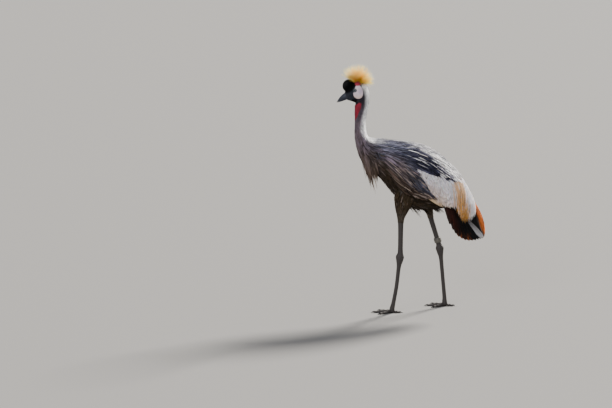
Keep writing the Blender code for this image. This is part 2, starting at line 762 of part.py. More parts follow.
def feather_bed(kind, side, finish=None):
    span, inner, outer = WING_BEDS[kind]
    places = np.arange(span[0], span[1] + BED_STEP / 2, BED_STEP)
    under = bed_grid(places, inner, side)
    over = bed_grid(places, outer, side)
    return new_object(f"{kind}_{SIDE_NAMES[side]}", *sheet_solid(under, over), finish)


def wing_room(side):
    """All the room outside the folded wing's bed, to keep the thigh under its edge."""
    span, inner, _ = WING_BEDS["wing"]
    places = np.arange(span[0], span[1] + BED_STEP * 5.5, BED_STEP)
    under = bed_grid(places, ((0, 1), (inner[1][0] - 4 * GAP,) * 2), side, THIGH_ROOM)
    over = bed_grid(places, ((0, 1), (0.04, 0.04)), side, THIGH_ROOM)
    return new_object("room", *sheet_solid(under, over))


def tier(side, count, turns, root, tip, half_width, rise, seed, **style):
    """Vanes side by side over a folded wing. root and tip give the place for a turn."""
    draw = random.Random(seed)
    forms = []
    step = (turns[1] - turns[0]) / count
    for number in range(count):
        turn = turns[0] + step * (number + 0.5)
        start = root(turn) + draw.uniform(-0.06, 0.06)
        end = max(tip(turn) + draw.uniform(-0.10, 0.10), start + 0.9)
        width = room_between(WING, (start + end) / 2, turn, step, half_width)
        form = lie(WING, side, (start, turn * FEATHER_SLANT + 3.0), (end, turn), width, rise,
                   number, **style)
        forms.append(own_side(form, side))
    return forms


def grey_tips(turn):
    return np.interp(turn, *GREY_TIPS)


def white_tips(turn):
    return np.interp(turn, *WHITE_TIPS)


def make_wings(finish, white, flight):
    for side in (LEFT, RIGHT):
        forms = tier(side, 4, (12, 92), lambda turn: 0.98, lambda turn: 2.7, 0.0130,
                     (-0.0150, -0.0026, 0.0018), 11)
        forms += tier(side, 5, (9, 118), lambda turn: 1.75,
                      lambda turn: min(4.1 - turn * 0.004, grey_tips(turn) - 0.9), 0.0165,
                      (-0.0115, -0.0034, 0.0010), 12)
        forms += tier(side, 8, (8, 126), lambda turn: 2.85 - turn * 0.003, grey_tips, 0.0140,
                      (-0.0115, -0.0042, 0.0), 13)
        finish_wing_node(feather_bed("wing", side, finish), forms)

        forms = tier(side, 3, (40, 116), lambda turn: 4.3,
                     lambda turn: min(6.6, white_tips(turn) - 1.1), 0.0200,
                     (-0.0150, -0.0084, -0.0046), 15, shape=ROUND)
        forms += tier(side, 7, (9, 121), lambda turn: 5.3, white_tips, 0.0150,
                      (-0.0150, -0.0086, -0.0034), 16, shape=ROUND)
        forms += straw_plumes(side)
        finish_wing_node(feather_bed("coverts", side, white), forms)
        finish_wing_node(feather_bed("flight", side, flight), flight_feathers(side))


def finish_wing_node(bed, forms):
    boolean(bed, pieces_from(forms), "UNION")
    boolean(bed, [torso_clearance()], "DIFFERENCE")


def straw_plumes(side):
    """The long straw-coloured plumes that hang over the rear of the white patch."""
    forms = []
    for number in range(STRAW_COUNT):
        share = (number + 0.5) / STRAW_COUNT
        root = (5.7 + 0.2 * share, 14 + 62 * share)
        tip = (9.6 - 1.5 * share, 66 + 44 * share)
        form = lie(WING, side, root, tip, 0.0055, (-0.0150, -0.0030, 0.0006), bend=-6)
        forms.append(own_side(form, side))
    return forms


def flight_feathers(side):
    """Secondaries and primaries, the uppermost over the next, that end round the folded tip."""
    forms = []
    for number in range(FLIGHT_COUNT):
        share = number / (FLIGHT_COUNT - 1)
        end = (np.interp(share, FLIGHT_TIPS[0], FLIGHT_TIPS[1]),
               np.interp(share, FLIGHT_TIPS[0], FLIGHT_TIPS[2]))
        root = (6.5 - 0.3 * share, 12 + 94 * share)
        depth = FLIGHT_STACK * number
        width = room_between(WING, (root[0] + end[0]) / 2, (root[1] + end[1]) / 2,
                             130 / FLIGHT_COUNT, 0.0130)
        form = lie(WING, side, root, end, width, (-0.0210, -0.0140, -0.0006 - depth),
                   number, shape=STRAP)
        forms.append(own_side(form, side))
    return forms


# Tail

def make_tail(finish):
    """The short tail between the wing tips: a root on the torso and a closed fan of feathers."""
    tail = ellipsoid("tail", TAIL_ROOT, (0.034, 0.022, 0.030), finish, 10, 6)
    root = np.array(TAIL_ROOT) + np.array((0.006, 0.0, -0.006))
    normal = unit(np.array((0.875, 0.0, 0.483)))
    t = np.array(STRAP[0])
    widths = TAIL_HALF_WIDTH * np.array(STRAP[1])[:, None]
    forms = []
    for number in range(TAIL_COUNT):
        aside = (number + 1) // 2 * (-1 if number % 2 else 1)
        tip = np.array(TAIL_TIP) + np.array((0.0, aside * 0.0050, abs(aside) * 0.003))
        start = root + np.array((0.0, aside * 0.0022, 0.0))
        under = number * TAIL_STACK + 0.004 * np.sin(math.pi * t)
        path = start + np.outer(t, tip - start) - np.outer(under, normal)
        across = unit(np.cross(unit(np.gradient(path, axis=0)), normal))
        lines = np.stack([path - across * widths, path + across * widths], axis=1)[:-1]
        forms.append(vane(lines, np.tile(normal, (len(t) - 1, 1)), path[-1]))
    boolean(tail, pieces_from(forms), "UNION")
    boolean(tail, [torso_clearance()], "DIFFERENCE")


# Legs

def leg_rings(rows, places, around, lift=0.0):
    """Rings square to the leg's own line."""
    turns = np.linspace(0, 2 * math.pi, around, endpoint=False) + math.pi / around
    rings = []
    for place in places:
        row = along(rows, place)
        travel = unit(along(rows, place + 0.02)[0:3] - along(rows, place - 0.02)[0:3])
        fore = unit(np.cross(travel, (0.0, 1.0, 0.0)))
        aside = np.cross(fore, travel)
        rings.append(row[0:3] + np.outer(np.cos(turns), fore) * (row[3] + lift)
                     + np.outer(np.sin(turns), aside) * (row[4] + lift))
    return rings


def leg_length(name, rows, start, end, steps, around, finish):
    places = np.linspace(start, end, steps + 1)
    rings = leg_rings(rows, places, around)
    for index, sign, place in ((0, 1, start), (-1, -1, end)):
        if place > 0:
            travel = unit(along(rows, place + 0.02)[0:3] - along(rows, place - 0.02)[0:3])
            rings[index] = rings[index] + sign * GAP / 2 * travel
    return new_object(name, *ring_solid(rings), finish)


def make_legs(finish):
    for side in (LEFT, RIGHT):
        rows = LEGS[side]
        name = SIDE_NAMES[side]
        thigh = leg_length(f"thigh_{name}", rows, 0, THIGH_END, 7, 14, finish)
        boolean(thigh, [torso_clearance(), wing_room(side)], "DIFFERENCE")
        leg_length(f"shank_{name}", rows, THIGH_END, SHANK_END, 5, 10, finish)
        leg_length(f"ankle_{name}", rows, SHANK_END, ANKLE_END, 7, 10, finish)
        leg_length(f"tarsus_{name}", rows, ANKLE_END, TARSUS_END, 5, 10, finish)
        make_foot(name, rows, finish)


def make_foot(name, rows, finish):
    """The foot: a knuckle under the leg, three front toes and the hind toe, flat below."""
    end = along(rows, TARSUS_END)
    travel = unit(along(rows, TARSUS_END)[0:3] - along(rows, TARSUS_END - 0.04)[0:3])
    top = end[0:3] + travel * GAP / 2
    knuckle = top + travel * 0.010
    knuckle[2] = KNUCKLE_HEIGHT
    turns = np.linspace(0, 2 * math.pi, 10, endpoint=False) + math.pi / 10
    fore = unit(np.cross(travel, (0.0, 1.0, 0.0)))
    aside = np.cross(fore, travel)
    rings = []
    for share, size in ((0.0, 1.0), (0.45, 1.08), (0.75, 1.0), (1.0, 0.55)):
        middle = top + (np.array((knuckle[0], knuckle[1], 0.0)) - top) * share
        ring = middle + np.outer(np.cos(turns), fore) * end[3] * size
        ring = ring + np.outer(np.sin(turns), aside) * end[4] * size
        ring[:, 2] = np.maximum(ring[:, 2], 0.0)
        if share == 1.0:
            ring[:, 2] = 0.0
        rings.append(ring)
    foot = new_object(f"foot_{name}", *ring_solid(rings), finish)
    toes = []
    for number, (heading, length) in enumerate((*FRONT_TOES, HIND_TOE)):
        ring_set, end_ring = toe_rings(knuckle, heading, length)
        toes.append(new_object("toe", *ring_solid(ring_set)))
        claw(f"claw_{name}_{number + 1}", end_ring, heading, finish)
    boolean(foot, toes, "UNION")


def toe_rings(knuckle, heading, length):
    """Rings along one toe, clipped flat where it stands on the floor."""
    angle = math.radians(heading)
    ahead = np.array((-math.cos(angle), -math.sin(angle), 0.0))
    aside = np.array((ahead[1], -ahead[0], 0.0))
    turns = np.linspace(0, 2 * math.pi, 8, endpoint=False) + math.pi / 8
    rings = []
    for share in np.linspace(0, 1, 6):
        radius = TOE_RADIUS * (1 - 0.38 * share) * (1 + 0.10 * math.cos(6 * math.pi * share))
        height = radius * 0.86 + (KNUCKLE_HEIGHT - TOE_RADIUS) * (1 - share)**3 * 0.6
        middle = np.array((knuckle[0], knuckle[1], height)) + ahead * length * share
        ring = middle + np.outer(np.cos(turns), aside) * radius
        ring[:, 2] += np.sin(turns) * radius
        ring[:, 2] = np.maximum(ring[:, 2], 0.0)
        rings.append(ring)
    return rings, rings[-1]


def claw(name, end_ring, heading, finish):
    """A curved claw that leaves the end of a toe and points down to the floor."""
    angle = math.radians(heading)
    ahead = np.array((-math.cos(angle), -math.sin(angle), 0.0))
    start = end_ring.mean(0)
    spokes = end_ring - start
    rings = []
    for share, size in ((0.0, 0.78), (0.5, 0.56), (1.0, 0.10)):
        middle = start + ahead * (GAP + CLAW_LENGTH * share)
        middle[2] = start[2] * (1 + 0.25 * math.sin(math.pi * share)) * (1 - share**2 * 0.82)
        ring = middle + spokes * size
        ring[:, 2] = np.maximum(ring[:, 2], CLAW_CLEAR)
        rings.append(ring)
    new_object(name, *ring_solid(rings), finish)


def make_ring(finish):
    """The band on the right leg, closed round the shank."""
    rows = LEGS[RIGHT]
    places = np.linspace(RING_FROM, RING_TO, 2)
    inner = leg_rings(rows, places, 16, RING_ROOM)
    outer = leg_rings(rows, places, 16, RING_ROOM + RING_WALL)
    loops = [inner[0], outer[0], outer[1], inner[1]]
    points = np.array(loops).reshape(-1, 3)
    faces = []
    for loop in range(4):
        for j in range(16):
            a, b = loop * 16 + j, loop * 16 + (j + 1) % 16
            c, d = (loop + 1) % 4 * 16 + (j + 1) % 16, (loop + 1) % 4 * 16 + j
            faces += [(a, b, c), (a, c, d)]
    new_object("leg_ring", points, faces, finish)


def main():
    for old in list(bpy.data.objects):
        bpy.data.objects.remove(old)
    grey = material("grey_plumage", (0.23, 0.23, 0.27), 0.8)
    horn = material("dark_horn", (0.04, 0.045, 0.06), 0.4)
    head = make_head(grey)
    cushion = make_cushion(head, material("black_velvet", (0.006, 0.006, 0.008), 0.9))
    make_eyes(material("pale_iris", (0.45, 0.50, 0.55), 0.1))
    make_bill(horn)
    make_cheeks(material("bare_white_skin", (0.85, 0.80, 0.80), 0.5))
    make_wattle(material("red_skin", (0.60, 0.03, 0.05), 0.45))
    make_crest(cushion, material("straw_bristles", (0.80, 0.50, 0.14), 0.6))
    make_neck_and_torso(grey)
    make_wings(grey, material("white_coverts", (0.85, 0.83, 0.78), 0.7),
               material("chestnut_quills", (0.16, 0.05, 0.025), 0.6))
    make_tail(material("black_feathers", (0.02, 0.02, 0.025), 0.6))
    make_legs(material("dark_leg", (0.07, 0.07, 0.08), 0.6))
    make_ring(material("beige_band", (0.45, 0.42, 0.36), 0.5))


main()
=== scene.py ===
import json
import math
from math import pi

import bmesh
import bpy
import numpy as np
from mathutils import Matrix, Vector

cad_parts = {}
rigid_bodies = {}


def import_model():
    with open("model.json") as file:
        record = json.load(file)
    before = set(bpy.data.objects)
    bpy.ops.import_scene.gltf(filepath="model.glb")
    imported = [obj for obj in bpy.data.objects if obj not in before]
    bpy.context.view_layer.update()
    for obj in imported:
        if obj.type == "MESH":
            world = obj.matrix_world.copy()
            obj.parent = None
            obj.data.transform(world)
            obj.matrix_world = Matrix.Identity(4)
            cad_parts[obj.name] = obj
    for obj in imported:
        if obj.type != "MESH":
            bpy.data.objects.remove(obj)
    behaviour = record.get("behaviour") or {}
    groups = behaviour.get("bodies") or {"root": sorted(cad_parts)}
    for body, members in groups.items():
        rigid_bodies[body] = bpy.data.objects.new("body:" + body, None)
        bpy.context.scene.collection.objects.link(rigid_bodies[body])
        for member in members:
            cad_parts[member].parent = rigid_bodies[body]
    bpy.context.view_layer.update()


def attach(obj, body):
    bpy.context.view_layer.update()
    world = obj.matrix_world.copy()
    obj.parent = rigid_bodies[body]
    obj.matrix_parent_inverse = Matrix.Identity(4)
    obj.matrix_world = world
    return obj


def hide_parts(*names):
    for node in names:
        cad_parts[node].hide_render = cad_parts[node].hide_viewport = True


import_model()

# The forms' sections, near those of the solids: back x, z, front x, z and half the width.
BODY = np.array([
    (-0.273, 0.898, -0.265, 0.872, 0.0085), (-0.264, 0.917, -0.252, 0.869, 0.0130),
    (-0.249, 0.931, -0.240, 0.865, 0.0175), (-0.232, 0.945, -0.232, 0.862, 0.0205),
    (-0.211, 0.950, -0.228, 0.860, 0.0225), (-0.191, 0.938, -0.227, 0.858, 0.0230),
    (-0.177, 0.915, -0.227, 0.855, 0.0225), (-0.171, 0.888, -0.227, 0.850, 0.0220),
    (-0.173, 0.853, -0.227, 0.831, 0.0215), (-0.181, 0.814, -0.228, 0.804, 0.0205),
    (-0.186, 0.781, -0.229, 0.774, 0.0200), (-0.184, 0.745, -0.228, 0.729, 0.0220),
    (-0.174, 0.718, -0.219, 0.681, 0.0290), (-0.153, 0.703, -0.203, 0.639, 0.0400),
    (-0.123, 0.697, -0.174, 0.593, 0.0510), (-0.056, 0.686, -0.121, 0.547, 0.0640),
    (0.022, 0.671, -0.059, 0.477, 0.0730), (0.088, 0.641, 0.006, 0.427, 0.0760),
    (0.128, 0.606, 0.064, 0.420, 0.0700), (0.162, 0.563, 0.113, 0.423, 0.0580),
    (0.188, 0.524, 0.152, 0.429, 0.0430), (0.204, 0.487, 0.178, 0.437, 0.0270),
    (0.208, 0.462, 0.196, 0.446, 0.0120),
])
WING = np.array([
    (-0.154, 0.709, -0.203, 0.639, 0.046), (-0.125, 0.710, -0.174, 0.591, 0.062),
    (-0.056, 0.705, -0.125, 0.541, 0.082), (0.024, 0.694, -0.064, 0.468, 0.094),
    (0.098, 0.664, 0.002, 0.418, 0.098), (0.146, 0.624, 0.059, 0.402, 0.096),
    (0.187, 0.583, 0.109, 0.381, 0.090), (0.217, 0.547, 0.141, 0.358, 0.080),
    (0.244, 0.498, 0.162, 0.335, 0.069), (0.267, 0.456, 0.178, 0.316, 0.058),
    (0.289, 0.410, 0.199, 0.298, 0.046), (0.303, 0.364, 0.223, 0.285, 0.034),
    (0.308, 0.323, 0.256, 0.281, 0.020), (0.301, 0.294, 0.285, 0.283, 0.006),
])
LEFT, RIGHT = -1, 1
SIDE_NAMES = {LEFT: "left", RIGHT: "right"}
# The legs' sections from the thigh down: middle x, y, z, half the depth and half the width.
LEGS = {
    LEFT: np.array([
        (-0.0200, -0.0440, 0.5000, 0.0400, 0.0240), (-0.0285, -0.0480, 0.4650, 0.0378, 0.0230),
        (-0.0355, -0.0530, 0.4300, 0.0258, 0.0190), (-0.0400, -0.0580, 0.3950, 0.0142, 0.0130),
        (-0.0405, -0.0610, 0.3650, 0.0098, 0.0098), (-0.0410, -0.0640, 0.3000, 0.0088, 0.0088),
        (-0.0415, -0.0660, 0.2520, 0.0098, 0.0098), (-0.0430, -0.0670, 0.2340, 0.0150, 0.0125),
        (-0.0445, -0.0680, 0.2160, 0.0120, 0.0112), (-0.0480, -0.0690, 0.1880, 0.0080, 0.0082),
        (-0.0560, -0.0700, 0.1140, 0.0072, 0.0074), (-0.0680, -0.0710, 0.0450, 0.0076, 0.0078),
        (-0.0735, -0.0710, 0.0200, 0.0095, 0.0100),
    ]),
    RIGHT: np.array([
        (0.0600, 0.0440, 0.5000, 0.0400, 0.0240), (0.0640, 0.0480, 0.4650, 0.0340, 0.0230),
        (0.0700, 0.0530, 0.4280, 0.0220, 0.0190), (0.0790, 0.0580, 0.3950, 0.0130, 0.0125),
        (0.0865, 0.0610, 0.3650, 0.0098, 0.0098), (0.1050, 0.0630, 0.3050, 0.0088, 0.0088),
        (0.1175, 0.0650, 0.2640, 0.0098, 0.0098), (0.1215, 0.0660, 0.2470, 0.0150, 0.0125),
        (0.1240, 0.0670, 0.2290, 0.0118, 0.0112), (0.1280, 0.0680, 0.2000, 0.0080, 0.0082),
        (0.1355, 0.0690, 0.1200, 0.0072, 0.0074), (0.1425, 0.0700, 0.0460, 0.0076, 0.0078),
        (0.1440, 0.0700, 0.0200, 0.0095, 0.0100),
    ]),
}
# The scales make shank, ankle and tarsus a little fuller than the smooth solids.
for leg in LEGS.values():
    leg[4:7, 3:5] += 0.0013
    leg[7:9, 3:5] += 0.0018
    leg[9:, 3:5] += 0.0008
EYE_AT = (-0.2305, 0.9125)
EYE_RADIUS = 0.0060
CHEEK_AT = (-0.2172, 0.9035)
CHEEK_SIZE = (0.0205, 0.0280)
RED_AT = (-0.2185, 0.9410)
RED_SIZE = (0.0125, 0.0120)
CUSHION_AT = np.array((-0.2548, 0.0, 0.9285))
CUSHION_SIZE = np.array((0.0255, 0.0175, 0.0262))
BILL_TIP = np.array((-0.304, 0.861))
TAIL_ROOT = np.array((0.205, 0.0, 0.455))
TAIL_TIP = np.array((0.283, 0.0, 0.306))

# Where the tips of the grey and white feathers end: turn in degrees, then place.
GREY_TIPS = ((0, 30, 46, 54, 61, 65, 68, 71, 74, 78, 84, 94, 103, 105, 110, 117, 121, 126, 130),
             (6.55, 6.33, 6.0, 5.62, 5.1, 4.75, 4.25, 3.4, 3.42, 3.62, 3.95, 4.45, 5.0, 5.35, 5.0, 4.5,
              3.9, 3.3, 2.8))
WHITE_TIPS = ((0, 40, 60, 80, 90, 97, 103, 110, 114, 117, 122),
              (8.6, 8.3, 8.1, 7.8, 7.5, 7.2, 6.85, 6.4, 6.0, 5.75, 5.2))
# Edges on the wing: place, then turn in degrees.
WHITE_LOWER_EDGE = ((3.4, 3.85, 4.38, 5.03, 5.43, 5.8), (74, 84, 96, 108, 115, 119))
WING_LOWER_EDGE = ((0.3, 0.8, 1.4, 1.75, 2.2, 2.6, 3.3), (46, 54, 64, 99, 118, 126, 127))
BED_LOWER_EDGE = ((0.8, 1.6, 2.4, 3.2, 4.4, 5.2, 6.0, 7.2), (46, 74, 112, 118, 116, 112, 118, 130))
DARK_UPPER_EDGE = ((1.0, 2.0, 2.65, 3.3, 4.0, 5.35, 6.0), (5, 8, 13, 25, 34, 41, 42))
DARK_LOWER_EDGE = ((1.0, 2.0, 3.0, 3.5, 5.0), (44, 57, 64, 69, 76))
# Where the quills of the wing end, by their share from the upper one to the lower one.
QUILL_END_PLACE = ((0.0, 0.12, 0.25, 0.38, 0.50, 0.65, 0.80, 0.92, 1.0),
                   (11.2, 12.0, 12.6, 12.3, 11.95, 11.2, 9.9, 8.6, 7.5))
QUILL_END_TURN = (QUILL_END_PLACE[0], (8, 25, 48, 86, 116, 141, 153, 150, 142))

# Curves and surfaces


def along(rows, place):
    """The smooth curve through the rows, at places counted in rows."""
    place = np.clip(np.asarray(place, float), 0, len(rows) - 1)
    first = np.minimum(place.astype(int), len(rows) - 2)
    t = (place - first)[..., None]
    padded = np.vstack([2 * rows[0] - rows[1], rows, 2 * rows[-1] - rows[-2]])
    a, b, c, d = (padded[first + step] for step in range(4))
    return 0.5 * (2 * b + (c - a) * t + (2 * a - 5 * b + 4 * c - d) * t**2
                  + (3 * b - a - 3 * c + d) * t**3)


def bare_surface(rows, place, turn):
    """A point of a sectioned form. turn is 0 on the back, pi on the belly, positive on the left."""
    row = along(rows, place)
    back, front = row[..., 0:2], row[..., 2:4]
    flat = (back + front) / 2 + (back - front) / 2 * np.cos(turn)[..., None]
    return np.stack([flat[..., 0], -row[..., 4] * np.sin(turn), flat[..., 1]], axis=-1)


def unit(vector):
    return vector / np.maximum(np.linalg.norm(vector, axis=-1, keepdims=True), 1e-12)


def outward(rows, place, turn):
    step = 1e-3
    ahead = bare_surface(rows, np.minimum(place + step, len(rows) - 1), turn)
    behind = bare_surface(rows, np.maximum(place - step, 0), turn)
    left = bare_surface(rows, place, turn + step)
    right = bare_surface(rows, place, turn - step)
    return unit(np.cross(left - right, ahead - behind))


def surface(rows, place, turn, lift=0.0):
    place, turn, lift = np.broadcast_arrays(
        np.asarray(place, float), np.asarray(turn, float), np.asarray(lift, float))
    return bare_surface(rows, place, turn) + lift[..., None] * outward(rows, place, turn)


def speeds(rows, place, turn):
    """Metres a unit of place and metres a radian of turn."""
    step = 0.05
    by_place = bare_surface(rows, place + step, turn) - bare_surface(rows, place - step, turn)
    by_turn = bare_surface(rows, place, turn + step) - bare_surface(rows, place, turn - step)
    return (np.linalg.norm(by_place, axis=-1) / (2 * step) + 1e-4,
            np.linalg.norm(by_turn, axis=-1) / (2 * step) + 1e-4)


def find_on(rows, target, span):
    """The place and turn on the left side of a form that lie at a point (x, z)."""
    places = np.linspace(*span, 400)
    row = along(rows, places)
    back, front = row[:, 0:2], row[:, 2:4]
    reach = back - front
    offset = np.asarray(target) - front
    side = reach[:, 0] * offset[:, 1] - reach[:, 1] * offset[:, 0]
    change = np.nonzero(np.sign(side[:-1]) != np.sign(side[1:]))[0]
    index = change[0] if len(change) else int(np.argmin(np.abs(side)))
    share = np.dot(offset[index], reach[index]) / np.dot(reach[index], reach[index])
    return places[index], math.acos(np.clip(2 * share - 1, -1, 1))


def section(place):
    """The body's sections: their rows, middles, directions to the back and half depths."""
    row = along(BODY, place)
    back, front = row[:, 0:2], row[:, 2:4]
    return row, (back + front) / 2, unit(back - front), np.linalg.norm(back - front, axis=1) / 2


def nearest_on_body(points):
    """The place and turn on the body nearest each point."""
    places = np.linspace(0, 22, 221)
    row, middle, reach, half = section(places)
    flat = points[:, [0, 2]]
    square = np.stack([-reach[:, 1], reach[:, 0]], axis=1)
    best = np.zeros(len(points), int)
    least = np.full(len(points), np.inf)
    for index in range(len(places)):
        offset = flat - middle[index]
        beyond = np.maximum(np.abs(offset @ reach[index]) - half[index], 0)
        score = np.abs(offset @ square[index]) + beyond * 2
        nearer = score < least
        best[nearer] = index
        least[nearer] = score[nearer]
    up = np.sum((flat - middle[best]) * reach[best], axis=1) / half[best]
    return places[best], np.arctan2(-points[:, 1] / row[best, 4], up)


def unit_steps(count):
    return np.linspace(0, 1, count)


def ease(low, high, value):
    """Rises smoothly from 0 to 1 between two values."""
    t = np.clip((np.asarray(value, float) - low) / (high - low), 0, 1)
    return t * t * (3 - 2 * t)


def bell(value, middle, width):
    """Falls from 1 at the middle to nothing on both sides."""
    return np.exp(-((value - middle) / width) ** 2)


def ripple(a, b, seed):
    """Slow smooth noise of two coordinates, from -1 to 1."""
    draw = np.random.default_rng(seed)
    total = 0.0
    for _ in range(5):
        fa, fb = draw.uniform(-1, 1, 2)
        total = total + np.sin(fa * a + fb * b + draw.uniform(0, 6.28))
    return total / 5 * 1.6


def circle(count):
    return np.linspace(0, 2 * pi, count, endpoint=False)


def oval(middle, fore, aside, turns, deep, wide):
    return middle + np.outer(np.cos(turns), fore) * deep + np.outer(np.sin(turns), aside) * wide


def square_to(travel):
    """The directions fore and aside, square to a leg's line."""
    fore = unit(np.cross(travel, (0.0, 1.0, 0.0)))
    return fore, np.cross(fore, travel)


def leg_rings(rows, places, around, lift=0.0):
    """Rings square to the leg's own line."""
    rings = []
    for place in places:
        row = along(rows, place)
        fore, aside = square_to(unit((along(rows, place + 0.02) - along(rows, place - 0.02))[0:3]))
        rings.append(oval(row[0:3], fore, aside, circle(around), row[3] + lift, row[4] + lift))
    return np.array(rings)


# Meshes


def add_object(name, data):
    made = bpy.data.objects.new(name, data)
    bpy.context.scene.collection.objects.link(made)
    return made


def link(name, mesh, finish, replaced=()):
    made = add_object(name, mesh)
    mesh.materials.append(finish)
    mesh.polygons.foreach_set("use_smooth", np.ones(len(mesh.polygons), bool))
    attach(made, "root")
    if replaced:
        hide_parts(*replaced)


def quick_mesh(name, points, corners, sizes):
    """A mesh from flat arrays: points, corner indices and the corner count of each face."""
    mesh = bpy.data.meshes.new(name)
    mesh.vertices.add(len(points))
    mesh.vertices.foreach_set("co", np.asarray(points, np.float32).ravel())
    mesh.loops.add(len(corners))
    mesh.loops.foreach_set("vertex_index", np.asarray(corners, np.int32))
    mesh.polygons.add(len(sizes))
    starts = np.concatenate([[0], np.cumsum(sizes)[:-1]])
    mesh.polygons.foreach_set("loop_start", starts.astype(np.int32))
    mesh.polygons.foreach_set("loop_total", np.asarray(sizes, np.int32))
    mesh.update(calc_edges=True)
    mesh.validate()
    return mesh


def points_of(mesh):
    return np.array([vertex.co for vertex in mesh.vertices])


def tint_points(mesh, colours):
    """Stores a colour for each point, or one for all."""
    layer = mesh.color_attributes.new("Tint", "FLOAT_COLOR", "POINT")
    full = np.ones((len(mesh.vertices), 4), np.float32)
    full[:, :3] = colours
    layer.data.foreach_set("color", full.ravel())


def corner_map(mesh, per_point, name="OFBake"):
    """Stores a UV map from one coordinate pair a point."""
    layer = mesh.uv_layers.new(name=name)
    index = np.empty(len(mesh.loops), np.int32)
    mesh.loops.foreach_get("vertex_index", index)
    layer.data.foreach_set("uv", np.asarray(per_point, np.float32)[index].ravel())


def pair_map(mesh, across, up):
    corner_map(mesh, np.stack([across, up], axis=1))


def map_from_above(mesh, size):
    flat = points_of(mesh)[:, :2]
    corner_map(mesh, (flat - flat.min(0)) / size)


def loft(name, rings, capped=True):
    """A closed form through rings of points, with ends closed to a point, or end joined to end."""
    points = np.array(rings)
    count, around = points.shape[:2]
    i, j = np.meshgrid(np.arange(count - 1 if capped else count), np.arange(around), indexing="ij")
    ahead = (i + 1) % count * around
    beside = (j + 1) % around
    quads = np.stack([i * around + j, i * around + beside, ahead + beside, ahead + j], axis=-1)
    corners = list(quads.ravel())
    sizes = [4] * i.size
    flat = points.reshape(-1, 3)
    if capped:
        flat = np.vstack([flat, points[0].mean(0), points[-1].mean(0)])
        first_cap = count * around
        last_ring = first_cap - around
        for k in range(around):
            following = (k + 1) % around
            corners += [first_cap, following, k, first_cap + 1, last_ring + k, last_ring + following]
            sizes += [3, 3]
    mesh = quick_mesh(name, flat, corners, sizes)
    edit = bmesh.new()
    edit.from_mesh(mesh)
    if edit.calc_volume(signed=True) < 0:
        bmesh.ops.reverse_faces(edit, faces=edit.faces)
    edit.to_mesh(mesh)
    edit.free()
    return mesh


# Feathers

BAKE_PATCH = 0.003
MIDLINE_GAP = 0.0006


def vanes(name, path, normal, half, tint, root_map, finish, side=None, slot="grey_plumage",
          replaced=(), camber=0.22, curl=0.0, tip_tint=None, fade=1.5):
    """One joined mesh of closed vanes.

    path and normal hold each vane's middle line and its outward directions, half its half
    widths, zero at the tip, tint its colour, and root_map its root's place on the unwrap. With a
    side, they are laid on the left, where y is negative, and mirrored for the right.
    """
    count, steps = path.shape[:2]
    if normal.ndim == 2:
        normal = np.repeat(normal[:, None, :], steps, axis=1)
    if side:
        mirror = np.array((1, -side, 1))
        path, normal = path * mirror, normal * mirror
        path[..., 1] = side * np.maximum(side * path[..., 1], MIDLINE_GAP)
        name, *replaced = (f"{node}_{SIDE_NAMES[side]}" for node in (name, *replaced))
    across = unit(np.cross(unit(np.gradient(path, axis=1)), normal))
    wide = half[..., None]
    edge_drop = normal * wide * curl
    left = path - across * wide - edge_drop
    right = path + across * wide - edge_drop
    body = np.stack([left, path + normal * wide * camber, right], axis=2)[:, :-1].reshape(count, -1, 3)
    points = np.concatenate([body, path[:, -1:]], axis=1)
    size = points.shape[1]
    rows = steps - 1
    last = (rows - 1) * 3
    edges = ((0, 1), (1, 2), (2, 0))
    quads = [(base + a, base + b, base + b + 3, base + a + 3)
             for base in range(0, last, 3) for a, b in edges]
    tris = [(0, 2, 1)] + [(last + a, last + b, size - 1) for a, b in edges]
    offset = (np.arange(count) * size)[:, None]
    corners = np.concatenate([(offset + np.ravel(faces)).ravel() for faces in (quads, tris)])
    sizes = np.concatenate([np.full(count * len(quads), 4), np.full(count * len(tris), 3)])
    mesh = quick_mesh(name, points.reshape(-1, 3), corners, sizes)
    share_across = np.concatenate([np.tile((0.0, 0.5, 1.0), rows), [0.5]])
    share_along = np.concatenate([np.repeat(unit_steps(steps)[:-1], 3), [1.0]])
    local = np.stack([share_across, share_along], axis=1)
    corner_map(mesh, np.tile(local, (count, 1)), "Vane")
    corner_map(mesh, (root_map[:, None, :] + (local[None] - 0.5) * BAKE_PATCH).reshape(-1, 2))
    tip_tint = tint if tip_tint is None else tip_tint
    tint_points(mesh, mix(tint[:, None, :], tip_tint[:, None, :], share_along**fade).reshape(-1, 3))
    link(name, mesh, finish, replaced)


def taper(steps, widest=0.35, root=0.45, power=1.0):
    """The width along a lanceolate feather, from a narrow root to a pointed tip."""
    t = unit_steps(steps)
    rise = root + (1 - root) * np.sin(np.clip(t / widest, 0, 1) * pi / 2)
    return rise * np.cos(np.clip((t - widest) / (1 - widest), 0, 1) * pi / 2) ** power


def scatter(rows, places, turns, spacing, draw, jitter=0.45):
    """Roots spread evenly over part of a form: arrays of place and turn in radians."""
    found_place, found_turn = [], []
    place = places[0]
    span = np.radians(np.linspace(*turns, 60))
    middle = np.radians([sum(turns) / 2])
    while place < places[1]:
        run = speeds(rows, np.array([place]), middle)[0][0]
        line = surface(rows, place, span)
        arc = np.concatenate([[0], np.cumsum(np.linalg.norm(np.diff(line, axis=0), axis=1))])
        count = max(int(arc[-1] / spacing[1]), 1)
        marks = (np.arange(count) + (0.25 if len(found_place) % 2 else 0.75)) / count * arc[-1]
        marks = marks + draw.uniform(-jitter, jitter, count) * spacing[1]
        found_turn.append(np.interp(marks, arc, span))
        found_place.append(place + draw.uniform(-jitter, jitter, count) * spacing[0] / run)
        place += spacing[0] / run
    return np.concatenate(found_place), np.concatenate(found_turn)


